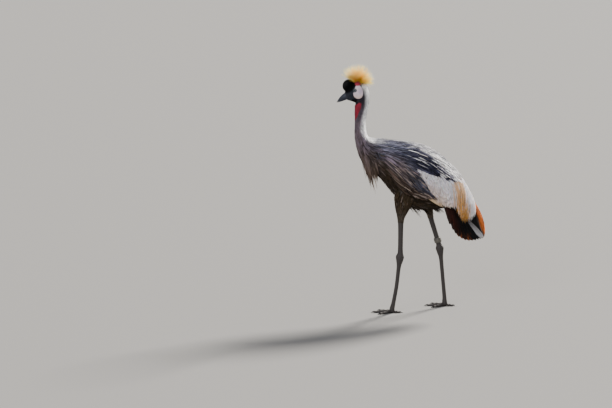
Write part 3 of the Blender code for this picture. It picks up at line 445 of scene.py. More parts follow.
def lay(name, rows, place, turn, length, heading, rise, half, tint, finish, **more):
    """Vanes that lie along a form from their roots.

    heading is the angle in radians off the form's own line, toward the belly, and rise holds
    the heights over the form at the root, at a quarter of the length and at the tip.
    """
    run, swing = speeds(rows, place, turn)
    t = unit_steps(half.shape[1])
    places = place[:, None] + (length * np.cos(heading) / run)[:, None] * t
    aside = length * np.sin(heading) / swing * np.where(turn >= 0, 1.0, -1.0)
    turns = turn[:, None] + aside[:, None] * t
    low, mid, high = (np.broadcast_to(value, place.shape)[:, None] for value in rise)
    lift = np.where(t < 0.25, low + (mid - low) * t / 0.25, mid + (high - mid) * (t - 0.25) / 0.75)
    vanes(name, surface(rows, places, turns, lift), outward(rows, places, turns), half, tint,
          unwrap(rows, place, turn), finish, **more)


def strung(vectors, profile):
    """Each vane's vector at each of its steps, scaled by a profile."""
    return vectors[:, None, :] * profile[..., None]


def grown(root, way, length):
    """Middle lines that grow from their roots by one stride for each way."""
    return root[:, None, :] + np.cumsum(unit(way), axis=1) * (length / way.shape[1])[:, None, None]


def straight(root, direction, length, steps):
    return root[:, None, :] + strung(direction, length[:, None] * unit_steps(steps))


def unwrap(rows, place, turn):
    """A root's place on the unwrap of the form."""
    return np.stack([0.03 + 0.94 * place / (len(rows) - 1),
                     0.03 + 0.94 * (turn / (2 * pi) + 0.5) % 1.0], axis=-1)


# Materials


class Finish:
    """A material, with short ways to add nodes to it."""

    def __init__(self, name):
        self.made = bpy.data.materials.new(name)
        self.made.use_nodes = True
        self.tree = self.made.node_tree
        self.shader = self.tree.nodes["Principled BSDF"]

    def feed(self, socket, value):
        """Links a socket to another one, or sets it to a number or a colour."""
        if isinstance(value, bpy.types.NodeSocket):
            self.tree.links.new(value, socket)
        else:
            socket.default_value = (*value, 1.0) if socket.type == "RGBA" else value

    def look(self, sockets):
        """Feeds the shader's sockets by name, and gives the material."""
        for name, value in sockets.items():
            self.feed(self.shader.inputs[name], value)
        return self.made

    def node(self, kind, output, inputs=(), **settings):
        """Adds a node, feeds its inputs by name or number, and gives one output."""
        made = self.tree.nodes.new("ShaderNode" + kind)
        for key, value in settings.items():
            setattr(made, key, value)
        for key, value in dict(inputs).items():
            self.feed(made.inputs[key], value)
        return made.outputs[output]

    def split_map(self, name):
        node = self.tree.nodes.new("ShaderNodeSeparateXYZ")
        self.feed(node.inputs[0], self.node("UVMap", "UV", uv_map=name))
        return node.outputs["X"], node.outputs["Y"]

    def tint(self):
        return self.node("Attribute", "Color", attribute_name="Tint")

    def at(self):
        return self.node("TexCoord", "Object")

    def maths(self, operation, first, second=0.5):
        return self.node("Math", 0, {0: first, 1: second}, operation=operation)

    def ramp(self, factor, *stops):
        """A ramp through stops: a position, and a colour or the level of a grey."""
        node = self.tree.nodes.new("ShaderNodeValToRGB")
        elements = node.color_ramp.elements
        while len(elements) < len(stops):
            elements.new(0.5)
        for element, (position, colour) in zip(elements, stops):
            element.position = position
            element.color = (*(colour if isinstance(colour, tuple) else (colour,) * 3), 1.0)
        self.feed(node.inputs["Fac"], factor)
        return node.outputs["Color"]

    def mix(self, factor, first, second, blend="MIX"):
        return self.node("Mix", 2, {0: factor, 6: first, 7: second},
                         data_type="RGBA", blend_type=blend, clamp_factor=True)

    def times(self, first, second, share=1.0):
        return self.mix(share, first, second, "MULTIPLY")

    def noise(self, scale, detail, vector=None, roughness=0.55):
        return self.node("TexNoise", "Fac", {"Vector": self.at() if vector is None else vector,
                                             "Scale": scale, "Detail": detail, "Roughness": roughness})

    def bump(self, height, strength, distance):
        return self.node("Bump", "Normal",
                         {"Height": height, "Strength": strength, "Distance": distance})


def plumage(name, roughness=0.7, sheen=0.0, barbs=26.0, shaft=0.35, edge=0.25, contrast=0.45,
            gloss=0.12, root_shade=0.45, glow=0.0):
    """A feather's material: its own tint with painted shade toward the root, where other feathers lie over
    it, and a shaft and barbs.
    """
    finish = Finish(name)
    across, down = finish.split_map("Vane")
    off_middle = finish.maths("ABSOLUTE", finish.maths("SUBTRACT", across, 0.5))
    slanted = finish.maths("SUBTRACT", down, finish.maths("MULTIPLY", off_middle, 0.5))
    stretched = finish.node("CombineXYZ", 0, {0: finish.maths("MULTIPLY", slanted, barbs),
                                              1: finish.maths("MULTIPLY", off_middle, 1.2)})
    strands = finish.noise(1.0, 4.0, stretched, 0.7)
    mottle = finish.noise(45.0, 4.0)
    colour = finish.times(finish.tint(),
                          finish.ramp(strands, (0.30, 1 - contrast), (0.62, 1.0 + contrast * 0.25)))
    colour = finish.times(colour, finish.ramp(mottle, (0.32, 0.80), (0.68, 1.14)))
    # Painted shade: darker toward the root, where the feathers overlap.
    colour = finish.times(colour, finish.ramp(down, (0.0, root_shade), (0.35, 1.0)), 0.8)
    middle = finish.maths("MULTIPLY", finish.maths("LESS_THAN", off_middle, 0.06), shaft)
    colour = finish.mix(middle, colour, finish.times(colour, (0.35, 0.33, 0.32)))
    rim = finish.maths("MULTIPLY", finish.maths("GREATER_THAN", off_middle, 0.36), edge)
    colour = finish.mix(rim, colour, finish.times(colour, (2.3, 2.3, 2.3)))
    return finish.look({
        "Base Color": colour,
        "Roughness": finish.ramp(mottle, (0.3, roughness - 0.12), (0.7, roughness + 0.1)),
        "Sheen Weight": sheen,
        "Specular IOR Level": gloss,
        "Subsurface Weight": glow,
        "Subsurface Radius": (0.010, 0.006, 0.003),
        "Subsurface Scale": 0.5,
        "Normal": finish.bump(strands, 0.35, 0.0006)})


def skin_finish(name):
    """The skin under the feathers and on the bare face, with its markings as point colours."""
    finish = Finish(name)
    fine = finish.noise(900.0, 5.0, roughness=0.65)
    broad = finish.noise(90.0, 3.0)
    colour = finish.times(finish.tint(), finish.ramp(fine, (0.35, 0.82), (0.65, 1.10)))
    pores = finish.node("TexVoronoi", "Distance", {"Vector": finish.at(), "Scale": 700.0})
    grain = finish.maths("ADD", fine, finish.maths("MULTIPLY", pores, 0.8))
    return finish.look({
        "Base Color": finish.times(colour, finish.ramp(broad, (0.3, 0.88), (0.7, 1.08))),
        "Roughness": finish.ramp(broad, (0.3, 0.50), (0.7, 0.70)),
        "Specular IOR Level": 0.28,
        "Normal": finish.bump(grain, 0.7, 0.0006)})


def horn_finish(name, colour, pale, roughness=0.34):
    finish = Finish(name)
    fine = finish.noise(900.0, 4.0)
    return finish.look({
        "Base Color": finish.ramp(finish.noise(120.0, 4.0), (0.3, colour), (0.72, pale)),
        "Roughness": finish.ramp(fine, (0.3, roughness - 0.08), (0.7, roughness + 0.14)),
        "Specular IOR Level": 0.3,
        "Normal": finish.bump(fine, 0.25, 0.0003)})


def eye_finish():
    """A clear eye: black pupil, pale grey iris with fine spokes and a dark rim."""
    finish = Finish("eye")
    spin, polar = finish.split_map("OFBake")
    spokes = finish.noise(1.0, 3.0, finish.node("CombineXYZ", 0, {0: finish.maths("MULTIPLY", spin, 90.0),
                                                                  1: finish.maths("MULTIPLY", polar, 9.0)}))
    iris = finish.ramp(spokes, (0.3, (0.14, 0.17, 0.19)), (0.7, (0.40, 0.45, 0.47)))
    rings = finish.ramp(finish.node("Attribute", "Fac", attribute_name="Look"),
                        (0.0, 0.0), (0.160, 0.0), (0.168, 1.0), (0.262, 1.0), (0.300, 0.05))
    return finish.look({
        "Base Color": finish.mix(rings, (0.003, 0.003, 0.004), iris),
        "Roughness": finish.ramp(spokes, (0.3, 0.05), (0.7, 0.09)),
        "Normal": finish.bump(spokes, 0.05, 0.0001),
        "Specular IOR Level": 0.14,
        "Coat Weight": 0.1,
        "Coat Roughness": 0.02})


# The markings, the same on skin and coat

GREY = np.array((0.170, 0.174, 0.240))
MAUVE = np.array((0.145, 0.115, 0.145))
SILVER = np.array((0.86, 0.85, 0.86))
SLATE = np.array((0.040, 0.040, 0.075))
BROWN_GREY = np.array((0.140, 0.108, 0.095))
BELLY = np.array((0.034, 0.023, 0.013))
CHARCOAL = np.array((0.026, 0.021, 0.030))
WHITE = np.array((0.94, 0.85, 0.85))
CREAM = np.array((0.82, 0.50, 0.22))
GOLD = np.array((0.84, 0.33, 0.012))
BLACK = np.array((0.004, 0.0035, 0.004))
CHESTNUT = np.array((0.20, 0.035, 0.014))
RUST = np.array((0.78, 0.19, 0.032))
LORES = np.array((0.040, 0.043, 0.056))
CHEEK_WHITE = np.array((0.66, 0.54, 0.59))
CHEEK_RED = np.array((0.34, 0.035, 0.060))
LEG_DARK = np.array((0.012, 0.011, 0.012))
LEG_PALE = np.array((0.060, 0.051, 0.046))


def mix(first, second, share):
    share = np.asarray(share, float)[..., None]
    return np.multiply(first, 1 - share) + np.multiply(second, share)


def paint(colour, *layers):
    """Colours laid one over another, each with its share."""
    for layer, share in layers:
        colour = mix(colour, layer, share)
    return colour


def vary(colour, draw, amount, count=None):
    """A colour for each feather, or one for count of them, made lighter or darker at random."""
    if count:
        colour = np.tile(colour, (count, 1))
    factor = 1 + draw.normal(0, amount, len(colour))[:, None]
    hue = 1 + draw.normal(0, amount * 0.12, colour.shape)
    return np.clip(colour * np.clip(factor, 0.45, 1.6) * hue, 0.002, 0.95)


def off_back(turn):
    return np.degrees(np.abs(turn))


def body_markings(place, turn):
    """The colour of head, neck and torso at a place and turn in radians."""
    degrees = off_back((turn + pi) % (2 * pi) - pi)
    # The pale band down the back of the neck: partly the pale nape feathers and partly painted rim light.
    pale_edge = np.interp(place, (4.2, 8.0, 9.4, 10.5, 11.4, 12.4), (57, 60, 73, 86, 58, 42))
    soft_edge = np.interp(place, (4.2, 6.0, 8.0, 9.4, 10.5, 11.4), (10, 19, 20, 20, 27, 15))
    pale_nape_and_rim_light = (1 - ease(-1, 1, (degrees - pale_edge) / soft_edge)) * ease(4.2, 4.9, place)
    return paint(CHARCOAL * 1.15,
                 (MAUVE * 0.85, ease(5.9, 9.0, place - degrees * 0.004)),
                 (MAUVE * 1.1, ease(8.2, 10.4, place)),
                 (BROWN_GREY, ease(11.4, 13.2, place) * ease(60, 110, degrees) * 0.9),
                 (GREY, ease(11.4, 13.4, place) * (1 - ease(60, 100, degrees))),
                 (SILVER * 1.15, pale_nape_and_rim_light * (1 - 0.4 * ease(13, 15, place))),
                 (BELLY, ease(13.2, 14.8, place) * ease(55, 95, degrees)))


def wing_markings(place, turn):
    """The colour of the folded wing at a place and turn in radians."""
    degrees = off_back(turn)
    from_upper = degrees - np.interp(place, *DARK_UPPER_EDGE)
    from_lower = degrees - np.interp(place, *DARK_LOWER_EDGE)
    brown = np.maximum(ease(74, 106, degrees), ease(2.3, 3.3, place))
    below = paint(MAUVE * 1.35, (BROWN_GREY, brown),
                  (GREY * 0.60, ease(2.8, 4.2, place) * (1 - ease(102, 116, degrees))),
                  (BROWN_GREY * (0.72, 0.62, 0.52), ease(92, 114, degrees)))
    dark = ease(-4, 6, from_upper) * (1 - ease(-7, 6, from_lower))
    # Over the back the wing turns silver: partly its pale feathers and partly painted highlight where the
    # light falls on the top.
    return paint(GREY * 0.85, (below, ease(-2, 14, from_lower)),
                 (SLATE, dark * (0.25 + 0.73 * ease(1.8, 3.6, place))),
                 (SILVER, 1 - ease(-6, 5, from_upper)))


def wing_tints(place, turn, draw, streaks=0.0):
    """Pale and dark feathers side by side: silver over the back, partly painted highlight, brown-grey on the
    lower wing, and painted shadow along its lower front edge.
    """
    degrees = off_back(turn)
    chance = draw.random(len(place))
    from_upper = degrees - np.interp(place, *DARK_UPPER_EDGE)
    from_lower = degrees - np.interp(place, *DARK_LOWER_EDGE)
    back = 1 - ease(-3, 5, from_upper)
    low = ease(64, 84, degrees)
    front = 1 - ease(2.0, 3.4, place)
    colour = wing_markings(place, turn)
    colour = mix(colour, colour * 1.35, front * ease(30, 44, degrees))
    dark = chance < 0.42 - 0.26 * back * ease(4.0, 6.0, place) - 0.12 * front
    colour = np.where(dark[:, None], mix(colour * 0.38, SLATE * 1.2, back * 0.7), colour)
    pale = chance > 1 - (0.03 + 0.15 * low + 0.14 * back)
    # Pale feathers on the back turn silver: partly their own colour, partly painted highlight.
    colour = np.where(pale[:, None], mix(mix(GREY * 1.6, BROWN_GREY * 2.5, low), SILVER, back), colour)
    in_dark = ease(-2, 4, from_upper) * (1 - ease(-16, -6, from_lower))
    streak = chance > 1 - streaks * in_dark * ease(2.4, 3.4, place)
    colour = np.where(streak[:, None], SILVER * 0.9, colour)
    # Painted shadow: the wing's lower front edge is darkened where the breast plumes shade it.
    edge = ease(-20, -9, degrees - np.interp(place, *WING_LOWER_EDGE))
    return vary(mix(colour, BELLY * 0.6, edge * (1 - ease(2.8, 3.5, place)) * 0.90), draw, 0.20)


def white_markings(place, turn):
    degrees = off_back(turn)
    # Toward the wing's lower edge the white turns warmer and darker, partly the cream of the feathers and
    # partly painted shade; toward the rear it turns cream.
    return paint(WHITE, (WHITE * (0.96, 0.84, 0.74), ease(58, 84, degrees)),
                 (CREAM, ease(84, 108, degrees) * 0.75), (CREAM, ease(7.0, 8.2, place) * 0.45))


def face_markings(points, place, turn, colour):
    """The grey-blue lores, and the black round the cushion, on the crown and on the chin."""
    x, z = points[:, 0], points[:, 2]
    head = place < 7.2
    away = np.linalg.norm((points - CUSHION_AT) / (CUSHION_SIZE * (1.0, 1.0, 1.05)), axis=1)
    return paint(colour, (LORES, ease(-0.228, -0.236, x) * head),
                 (BLACK, ease(34, 22, off_back(turn)) * ease(-0.196, -0.200, x) * head),
                 (BLACK * 0.8, ease(1.42, 1.10, away)),
                 (BLACK * 1.1, ease(0.8795, 0.8735, z) * ease(-0.245, -0.240, x) * head))


def plume_tints(colour, place, draw):
    """Pale and dark plumes side by side, more so toward the breast."""
    dark = draw.random(len(place)) < 0.38 * ease(10.8, 12.6, place)
    return vary(np.where(dark[:, None], colour * 0.38, colour * 1.15), draw, 0.15)


def flight_colour(share, rim):
    """Chestnut on the upper edge, black in the middle, dark red-brown along the lower edge."""
    upper = ease(0.27, 0.13, share) * (0.60 + 0.4 * rim)
    lower = ease(0.66, 0.98, share) * (0.22 + 0.6 * rim)
    return paint(BLACK * 0.9, (RUST, np.clip(upper, 0, 1)), (CHESTNUT * 0.32, np.clip(lower, 0, 1)))


# Skin

COAT_DEPTH = ((0, 2.5, 5.5, 8, 11, 13, 15, 19, 22),
              (0.0002, 0.0006, 0.0010, 0.0014, 0.0022, 0.0035, 0.0050, 0.0050, 0.0030))
WING_CORE = ((0.8, 1.6, 3.2, 4.4, 7.2), (-0.0190, -0.0125, -0.0135, -0.0175, -0.0190))
WING_CORE_INSIDE = ((0, 1), (-0.030, -0.030))


def skin_depth(place):
    return -np.interp(place, *COAT_DEPTH)


def core_sheet(side, heights):
    """One face of the folded wing's arm, as a line of points for each place."""
    sheet = []
    for place in np.linspace(0.8, 7.2, 40):
        lower = np.interp(place, *BED_LOWER_EDGE) - 3
        turns = np.radians(np.linspace(0.5, lower, 34)) * -side
        line = surface(WING, place, turns, np.interp(place, *heights))
        line[:, 1] = side * np.maximum(side * line[:, 1], 0.0002)
        sheet.append(line)
    return np.array(sheet)


def make_skin(finish):
    """One closed skin for head, neck, body, thighs and the arms of the wings."""
    places = np.concatenate([np.linspace(0, 7, 130), np.linspace(7.08, 22, 150)])
    grid_place, grid_turn = np.meshgrid(places, np.linspace(-pi, pi, 84, endpoint=False), indexing="ij")
    body = add_object("skin_body", loft("skin_body", surface(BODY, grid_place, grid_turn,
                                                             skin_depth(grid_place))))
    gathered = bpy.data.collections.new("skin parts")
    bpy.context.scene.collection.children.link(gathered)
    for side in (LEFT, RIGHT):
        inside, outside = core_sheet(side, WING_CORE_INSIDE), core_sheet(side, WING_CORE)
        for name, rings in (("thigh", leg_rings(LEGS[side], np.linspace(0, 3.5, 24), 36, -0.0035)),
                            ("core", np.concatenate([inside, outside[:, ::-1]], axis=1))):
            gathered.objects.link(bpy.data.objects.new(name, loft(name, rings)))
    modifier = body.modifiers.new("join", "BOOLEAN")
    modifier.operation = "UNION"
    modifier.operand_type = "COLLECTION"
    modifier.collection = gathered
    modifier.solver = "MANIFOLD"
    graph = bpy.context.evaluated_depsgraph_get()
    graph.update()
    mesh = bpy.data.meshes.new_from_object(body.evaluated_get(graph))
    for made in (body, *gathered.objects):
        bpy.data.objects.remove(made)
    bpy.data.collections.remove(gathered)
    mesh.name = "skin"
    mesh.materials.clear()
    points = points_of(mesh)
    place, turn = nearest_on_body(points)
    colour = face_markings(points, place, turn, body_markings(place, turn))
    # Over the back and under the wings the skin is painted dark: partly the dark under-plumage, partly
    # painted shade in the gaps between the feathers.
    dark_underlayer_and_shade = (points[:, 0] > -0.10) & (points[:, 2] > 0.35)
    tint_points(mesh, np.where(dark_underlayer_and_shade[:, None], np.minimum(colour, BELLY * 0.7), colour))
    for name in [layer.name for layer in mesh.uv_layers]:
        mesh.uv_layers.remove(mesh.uv_layers[name])
    corner_map(mesh, unwrap(BODY, place, turn))
    link("skin", mesh, finish,
         ("head", "neck_upper", "neck_lower", "torso", "thigh_left", "thigh_right"))


# Coat of the head, neck and body


def in_oval(points, middle, size, reach):
    x, z = points[:, 0] - middle[0], points[:, 2] - middle[1]
    return (x / size[0]) ** 2 + (z / size[1]) ** 2 < reach


def bare_face(place, turn):
    """Whether a root lies on the bare cheek, the red patch or the eye."""
    at = surface(BODY, place, turn)
    aside = np.abs(at[:, 1])
    return ((in_oval(at, CHEEK_AT, CHEEK_SIZE, 0.93) & (aside > 0.008))
            | (in_oval(at, RED_AT, RED_SIZE, 0.9) & (aside > 0.006))
            | (in_oval(at, EYE_AT, (0.0068, 0.0068), 1) & (aside > 0.010)))


def coat_roots(span, spacing, draw):
    place, turn = scatter(BODY, span, (-180, 180), spacing, draw)
    keep = ~bare_face(place, turn)
    return place[keep], turn[keep], np.count_nonzero(keep)


def make_neck_coat(finish):
    draw = np.random.default_rng(41)
    for name, span, spacing, lengths, width, seed in (
            ("coat_neck_upper", (4.6, 10.2), (0.0028, 0.0025), (0.009, 0.016), 0.0013, 6),
            ("coat_neck_lower", (9.7, 13.2), (0.0034, 0.0027), (0.018, 0.036), 0.0017, 7)):
        place, turn, count = coat_roots(span, spacing, draw)
        length = lengths[0] + (lengths[1] - lengths[0]) * ease(*span, place)
        length = length * draw.uniform(0.75, 1.2, count)
        heading = 0.25 * ripple(place * 1.5, np.sin(turn) * 3, seed) + draw.normal(0, 0.10, count)
        deep = skin_depth(place)
        rise = (deep - 0.0004, deep * 0.25 + 0.0002, 0.0005 + draw.uniform(0, 0.0012, count))
        half = width * taper(6) * draw.uniform(0.75, 1.25, (count, 1))
        tint = vary(body_markings(place, turn), draw, 0.15)
        lay(name, BODY, place, turn, length, heading, rise, half, tint, finish)


def make_head_coat(finish):
    """Short close feathers of the lores, crown, chin and the sides of the head."""
    draw = np.random.default_rng(43)
    place, turn, count = coat_roots((0.35, 4.9), (0.0018, 0.0017), draw)
    length = (0.0035 + 0.0008 * place) * draw.uniform(0.7, 1.2, count)
    heading = draw.normal(0, 0.18, count)
    deep = skin_depth(place)
    rise = (deep - 0.0003, deep + 0.0005, deep + 0.0009 + draw.uniform(0, 0.0007, count))
    half = 0.00062 * taper(5) * draw.uniform(0.7, 1.3, (count, 1))
    colour = face_markings(surface(BODY, place, turn), place, turn, body_markings(place, turn))
    lay("coat_head", BODY, place, turn, length, heading, rise, half, vary(colour, draw, 0.25), finish)


def make_chin_tuft(finish):
    """Black feathers of the throat that hang over the top of the wattle."""
    draw = np.random.default_rng(45)
    count = 420
    place = draw.uniform(5.6, 7.2, count)
    turn = np.radians(180 + draw.normal(0, 17, count))
    length = draw.uniform(0.008, 0.015, count)
    t = unit_steps(7)
    away = unit(outward(BODY, place, turn) * (1.0, 1.0, 0.0) + 1e-6)
    bow = 0.0020 + 0.0030 * draw.random(count) * ease(6.4, 7.2, place)
    path = surface(BODY, place, turn, -0.0010)[:, None, :] + strung(away, bow[:, None] * np.sin(t * 1.9))
    path[:, :, 2] -= length[:, None] * t
    half = 0.0009 * taper(7) * draw.uniform(0.6, 1.2, (count, 1))
    vanes("chin_tuft", path, away, half, vary(BLACK * 1.6, draw, 0.3, count),
          unwrap(BODY, place, turn % (2 * pi) - pi), finish)


def make_body_coat(finish):
    """The feathers of the breast, flanks and belly."""
    draw = np.random.default_rng(47)
    place, turn = scatter(BODY, (12.0, 21.9), (-180, 180), (0.0082, 0.0060), draw)
    count = len(place)
    length = np.interp(place, (12, 14, 17, 21.6), (0.040, 0.046, 0.040, 0.030))
    length = length * draw.uniform(0.75, 1.25, count)
    heading = 0.22 * ripple(place, np.sin(turn) * 3, 9) + draw.normal(0, 0.12, count)
    fluff = 0.0050 * bell(place, 15.6, 1.3) * ease(110, 150, off_back(turn))
    rise = (-0.0055, -0.0022 + fluff * 0.5, 0.0006 + fluff + draw.uniform(0, 0.0022, count))
    half = 0.0033 * taper(6) * draw.uniform(0.7, 1.25, (count, 1))
    streak = (draw.random(count) < 0.10)[:, None]
    tint = vary(np.where(streak, BROWN_GREY * 0.7, body_markings(place, turn)), draw, 0.30)
    lay("coat_body", BODY, place, turn, length, heading, rise, half, tint, finish)


def hang(root, tangent, normal, length, clear, drift, steps):
    """Middle lines that leave the body along it, then hang, and rest on what they meet."""
    path = [root]
    here = root
    down = unit(np.stack([drift, np.zeros(len(drift)), np.full(len(drift), -1.0)], axis=1))
    for step in range(1, steps):
        fall = min(1.0, step / (steps - 1) * 1.8)
        way = tangent * (1 - fall) + down * fall + normal * (0.55 if step == 1 else 0.0)
        here = here + unit(way) * (length / (steps - 1))[:, None]
        if step > 1:
            place, turn = nearest_on_body(here)
            row, middle, axis, half = section(place)
            up = np.sum((here[:, [0, 2]] - middle) * axis, axis=1) / half
            inside = np.hypot(up, here[:, 1] / row[:, 4]) < 1 + clear / row[:, 4]
            here = np.where(inside[:, None], surface(BODY, place, turn, clear), here)
        path.append(here)
    return np.array(path).transpose(1, 0, 2)


def make_breast_plumes(finish):
    """The long loose plumes that hang from the neck's base over the breast."""
    draw = np.random.default_rng(53)
    steps = 10
    place, turn = scatter(BODY, (9.6, 13.9), (-180, 180), (0.0066, 0.0034), draw)
    keep = off_back(turn) > 34
    place, turn = place[keep], turn[keep]
    degrees = off_back(turn)
    count = len(place)
    front = ease(50, 125, degrees)
    length = np.interp(place, (9.6, 10.6, 11.6), (0.020, 0.034, 0.044))
    length = length + 0.085 * front * ease(10.8, 12.6, place)
    lock = np.floor(place / 0.62) * 40 + np.floor((degrees * np.sign(turn) + 180) / 15)
    lock = lock.astype(int)
    locks = lock.max() + 1
    lock_length = draw.uniform(0.66, 1.22, locks)
    length = length * draw.uniform(0.55, 1.15, count) * lock_length[lock]
    tangent = unit(surface(BODY, place + 0.05, turn) - surface(BODY, place - 0.05, turn))
    drift = 0.24 + 0.25 * (1 - front) + draw.normal(0, 0.05, count)
    clear = 0.0012 + draw.uniform(0, 0.0055, count) * ease(9.8, 11.8, place)
    out = outward(BODY, place, turn)
    path = hang(surface(BODY, place, turn, -0.0030), tangent, out, length, clear, drift, steps)
    members = np.maximum(np.bincount(lock, minlength=locks), 1)
    lock_tip = np.stack([np.bincount(lock, path[:, -1, axis], locks) / members for axis in range(3)], axis=1)
    gathered = lock_tip[lock] + draw.normal(0, 0.0020, (count, 3))
    pull = 0.72 * ease(10.6, 12.0, place)[:, None] * unit_steps(steps) ** 1.6
    path = path + strung(gathered - path[:, -1], pull)
    half = 0.0022 * taper(steps, 0.45, 0.10) * draw.uniform(0.55, 1.25, (count, 1))
    half = half * np.interp(place, (9.6, 11.8), (0.50, 1.0))[:, None]
    lock_shade = draw.uniform(0.70, 1.25, locks)[lock]
    lock_shade = 1 + (lock_shade - 1) * ease(10.8, 12.2, place)
    tint = plume_tints(body_markings(place, turn), place, draw) * lock_shade[:, None]
    olive = BROWN_GREY * (1.05, 0.87, 0.58)
    vanes("breast_plumes", path, out, half, tint, unwrap(BODY, place, turn), finish,
          tip_tint=vary(mix(tint, olive, front * 0.75), draw, 0.2))


# The tufts between the thighs: place, degrees off the belly's middle, and length.
TUFTS = np.array([(16.1, -14, 0.044), (16.4, 10, 0.066), (16.8, -4, 0.074), (17.0, 20, 0.046),
                  (17.5, 6, 0.060), (17.9, -12, 0.044), (18.4, 8, 0.046), (16.6, -24, 0.046),
                  (18.8, -4, 0.040)])


def make_belly_tufts(finish):
    """Loose dark tufts that hang from the belly between the thighs."""
    draw = np.random.default_rng(57)
    count = 340
    place, degrees, length = TUFTS[draw.integers(0, len(TUFTS), count)].T
    place = place + draw.normal(0, 0.06, count)
    turn = np.radians(180 + degrees + draw.normal(0, 3, count))
    length = length * draw.uniform(0.55, 1.05, count)
    t = unit_steps(7)
    ahead = unit(surface(BODY, place + 0.1, turn) - surface(BODY, place, turn))
    way = strung(ahead, 1 - t) + np.outer(0.25 + 0.75 * t, (0.55, 0.0, -1.0))
    path = grown(surface(BODY, place, turn, -0.0030), way, length)
    path[:, :, 1] += draw.normal(0, 0.0018, (count, 1)) * t
    half = 0.0021 * taper(7, 0.3, 0.6) * draw.uniform(0.6, 1.2, (count, 1))
    vanes("belly_tufts", path, outward(BODY, place, turn), half, vary(BELLY * 1.1, draw, 0.4, count),
          unwrap(BODY, place, turn - pi), finish)


def make_thigh_coats(finish):
    """Feathers of the thighs, grey-brown at the top, and close and dark toward the shank."""
    for side in (LEFT, RIGHT):
        draw = np.random.default_rng(59 + side)
        rows = LEGS[side]
        count = 2600
        place = 3.30 * draw.random(count) ** 0.85
        turn = draw.uniform(0, 2 * pi, count)
        length = np.interp(place, (0, 1.2, 2.4, 3.7), (0.044, 0.036, 0.022, 0.010))
        length = length * draw.uniform(0.7, 1.2, count)
        row = along(rows, place)
        ahead = along(rows, place + 0.02) - along(rows, np.maximum(place - 0.02, 0))
        fore, aside = square_to(unit(ahead[:, 0:3]))
        fore, aside = fore * np.cos(turn)[:, None], aside * np.sin(turn)[:, None]
        speed = np.linalg.norm((along(rows, place + 0.5) - row)[:, 0:3], axis=1) * 2
        loose = draw.uniform(0.0, 0.0030, count) * (1 - ease(1.5, 3.0, place))
        path = []
        for share in unit_steps(7):
            here = along(rows, np.minimum(place + length * share / speed, 3.85))
            shrink = (here[:, 3] / row[:, 3])[:, None]
            lift = -0.0040 + 0.0050 * min(1.0, share * 1.6) + loose * share
            path.append(here[:, 0:3] + (fore * row[:, 3:4] + aside * row[:, 4:5]) * shrink
                        + (fore + aside) * lift[:, None])
        half = np.interp(place, (0, 2, 3.7), (0.0027, 0.0020, 0.0011))[:, None] * taper(7)
        half = half * draw.uniform(0.7, 1.25, (count, 1))
        shade = mix(BELLY * 1.25, (0.062, 0.049, 0.036), ease(0.9, 2.6, place))
        streak = draw.random(count) < 0.07 * (1 - ease(0.8, 1.8, place))
        # The right thigh is painted lighter than the left: painted light on the far thigh, which lies in
        # shade.
        shade = np.where(streak[:, None], BROWN_GREY, shade) * (1.5 if side == RIGHT else 1.05)
        root_map = np.stack([0.05 + 0.9 * place / 4.5, 0.05 + 0.9 * turn / (2 * pi)], axis=1)
        vanes("coat_thigh_" + SIDE_NAMES[side], np.array(path).transpose(1, 0, 2), fore + aside, half,
              vary(shade, draw, 0.35), root_map, finish)


# Wings


def tips_of(place, turn, length, heading):
    """Where vanes laid on the wing end: place and degrees, with the metres a unit of place."""
    run, swing = speeds(WING, place, turn)
    return (place + length * np.cos(heading) / run,
            np.degrees(turn) + np.degrees(length * np.sin(heading) / swing), run)


def make_grey_wing(side, finish):
    """Lanceolate scapulars and coverts down to the edge of the white, and loose plumes over them."""
    for name, seed, spacing, lengths, width, tips, streaks, replaced in (
            ("wing_grey", 61, (0.0105, 0.0050), (0.040, 0.062, 0.085, 0.075), 0.0042,
             (-0.0008, 0.0012), 0.0, ("wing",)),
            ("wing_plumes", 161, (0.0190, 0.0080), (0.060, 0.090, 0.110, 0.095), 0.0026,
             (0.0014, 0.0038), 0.26, ())):
        draw = np.random.default_rng(seed + side)
        place, turn = scatter(WING, (0.35, 6.3), (2, 128), spacing, draw)
        degrees = off_back(turn)
        length = np.interp(place, (0.3, 1.5, 3.0, 6.0), lengths) * draw.uniform(0.75, 1.2, len(place))
        heading = 0.10 * ripple(place * 0.9, degrees * 0.05, 71) + draw.normal(0, 0.05, len(place))
        heading = heading + 0.16 * ease(66, 84, degrees) * (1 - ease(95, 110, degrees))
        ragged = np.interp(degrees, (40, 48, 58, 66), (0.34, 0.14, 0.13, 0.06))
        spare = draw.normal(0, 1, len(place)) * ragged + 0.7 * ragged * np.sin(degrees * 0.45)
        for _ in range(3):
            _, end_degrees, run = tips_of(place, turn, length, heading)
            room = (np.interp(end_degrees, *GREY_TIPS) + spare - place) * run
            length = np.minimum(length, np.maximum(room, 0.001))
        keep = (degrees < np.interp(place, *WING_LOWER_EDGE)) & (length > 0.030)
        place, turn, length, heading = (value[keep] for value in (place, turn, length, heading))
        count = len(place)
        rise = (-0.0092, -0.0058 + tips[0], draw.uniform(*tips, count))
        half = width * taper(9, 0.40, 0.5) * draw.uniform(0.6, 1.2, (count, 1))
        tint = wing_tints(place + length * 10, turn, draw, streaks)
        lay(name, WING, place, turn, length, heading, rise, half, tint, finish, side=side,
            replaced=replaced, curl=0.15)


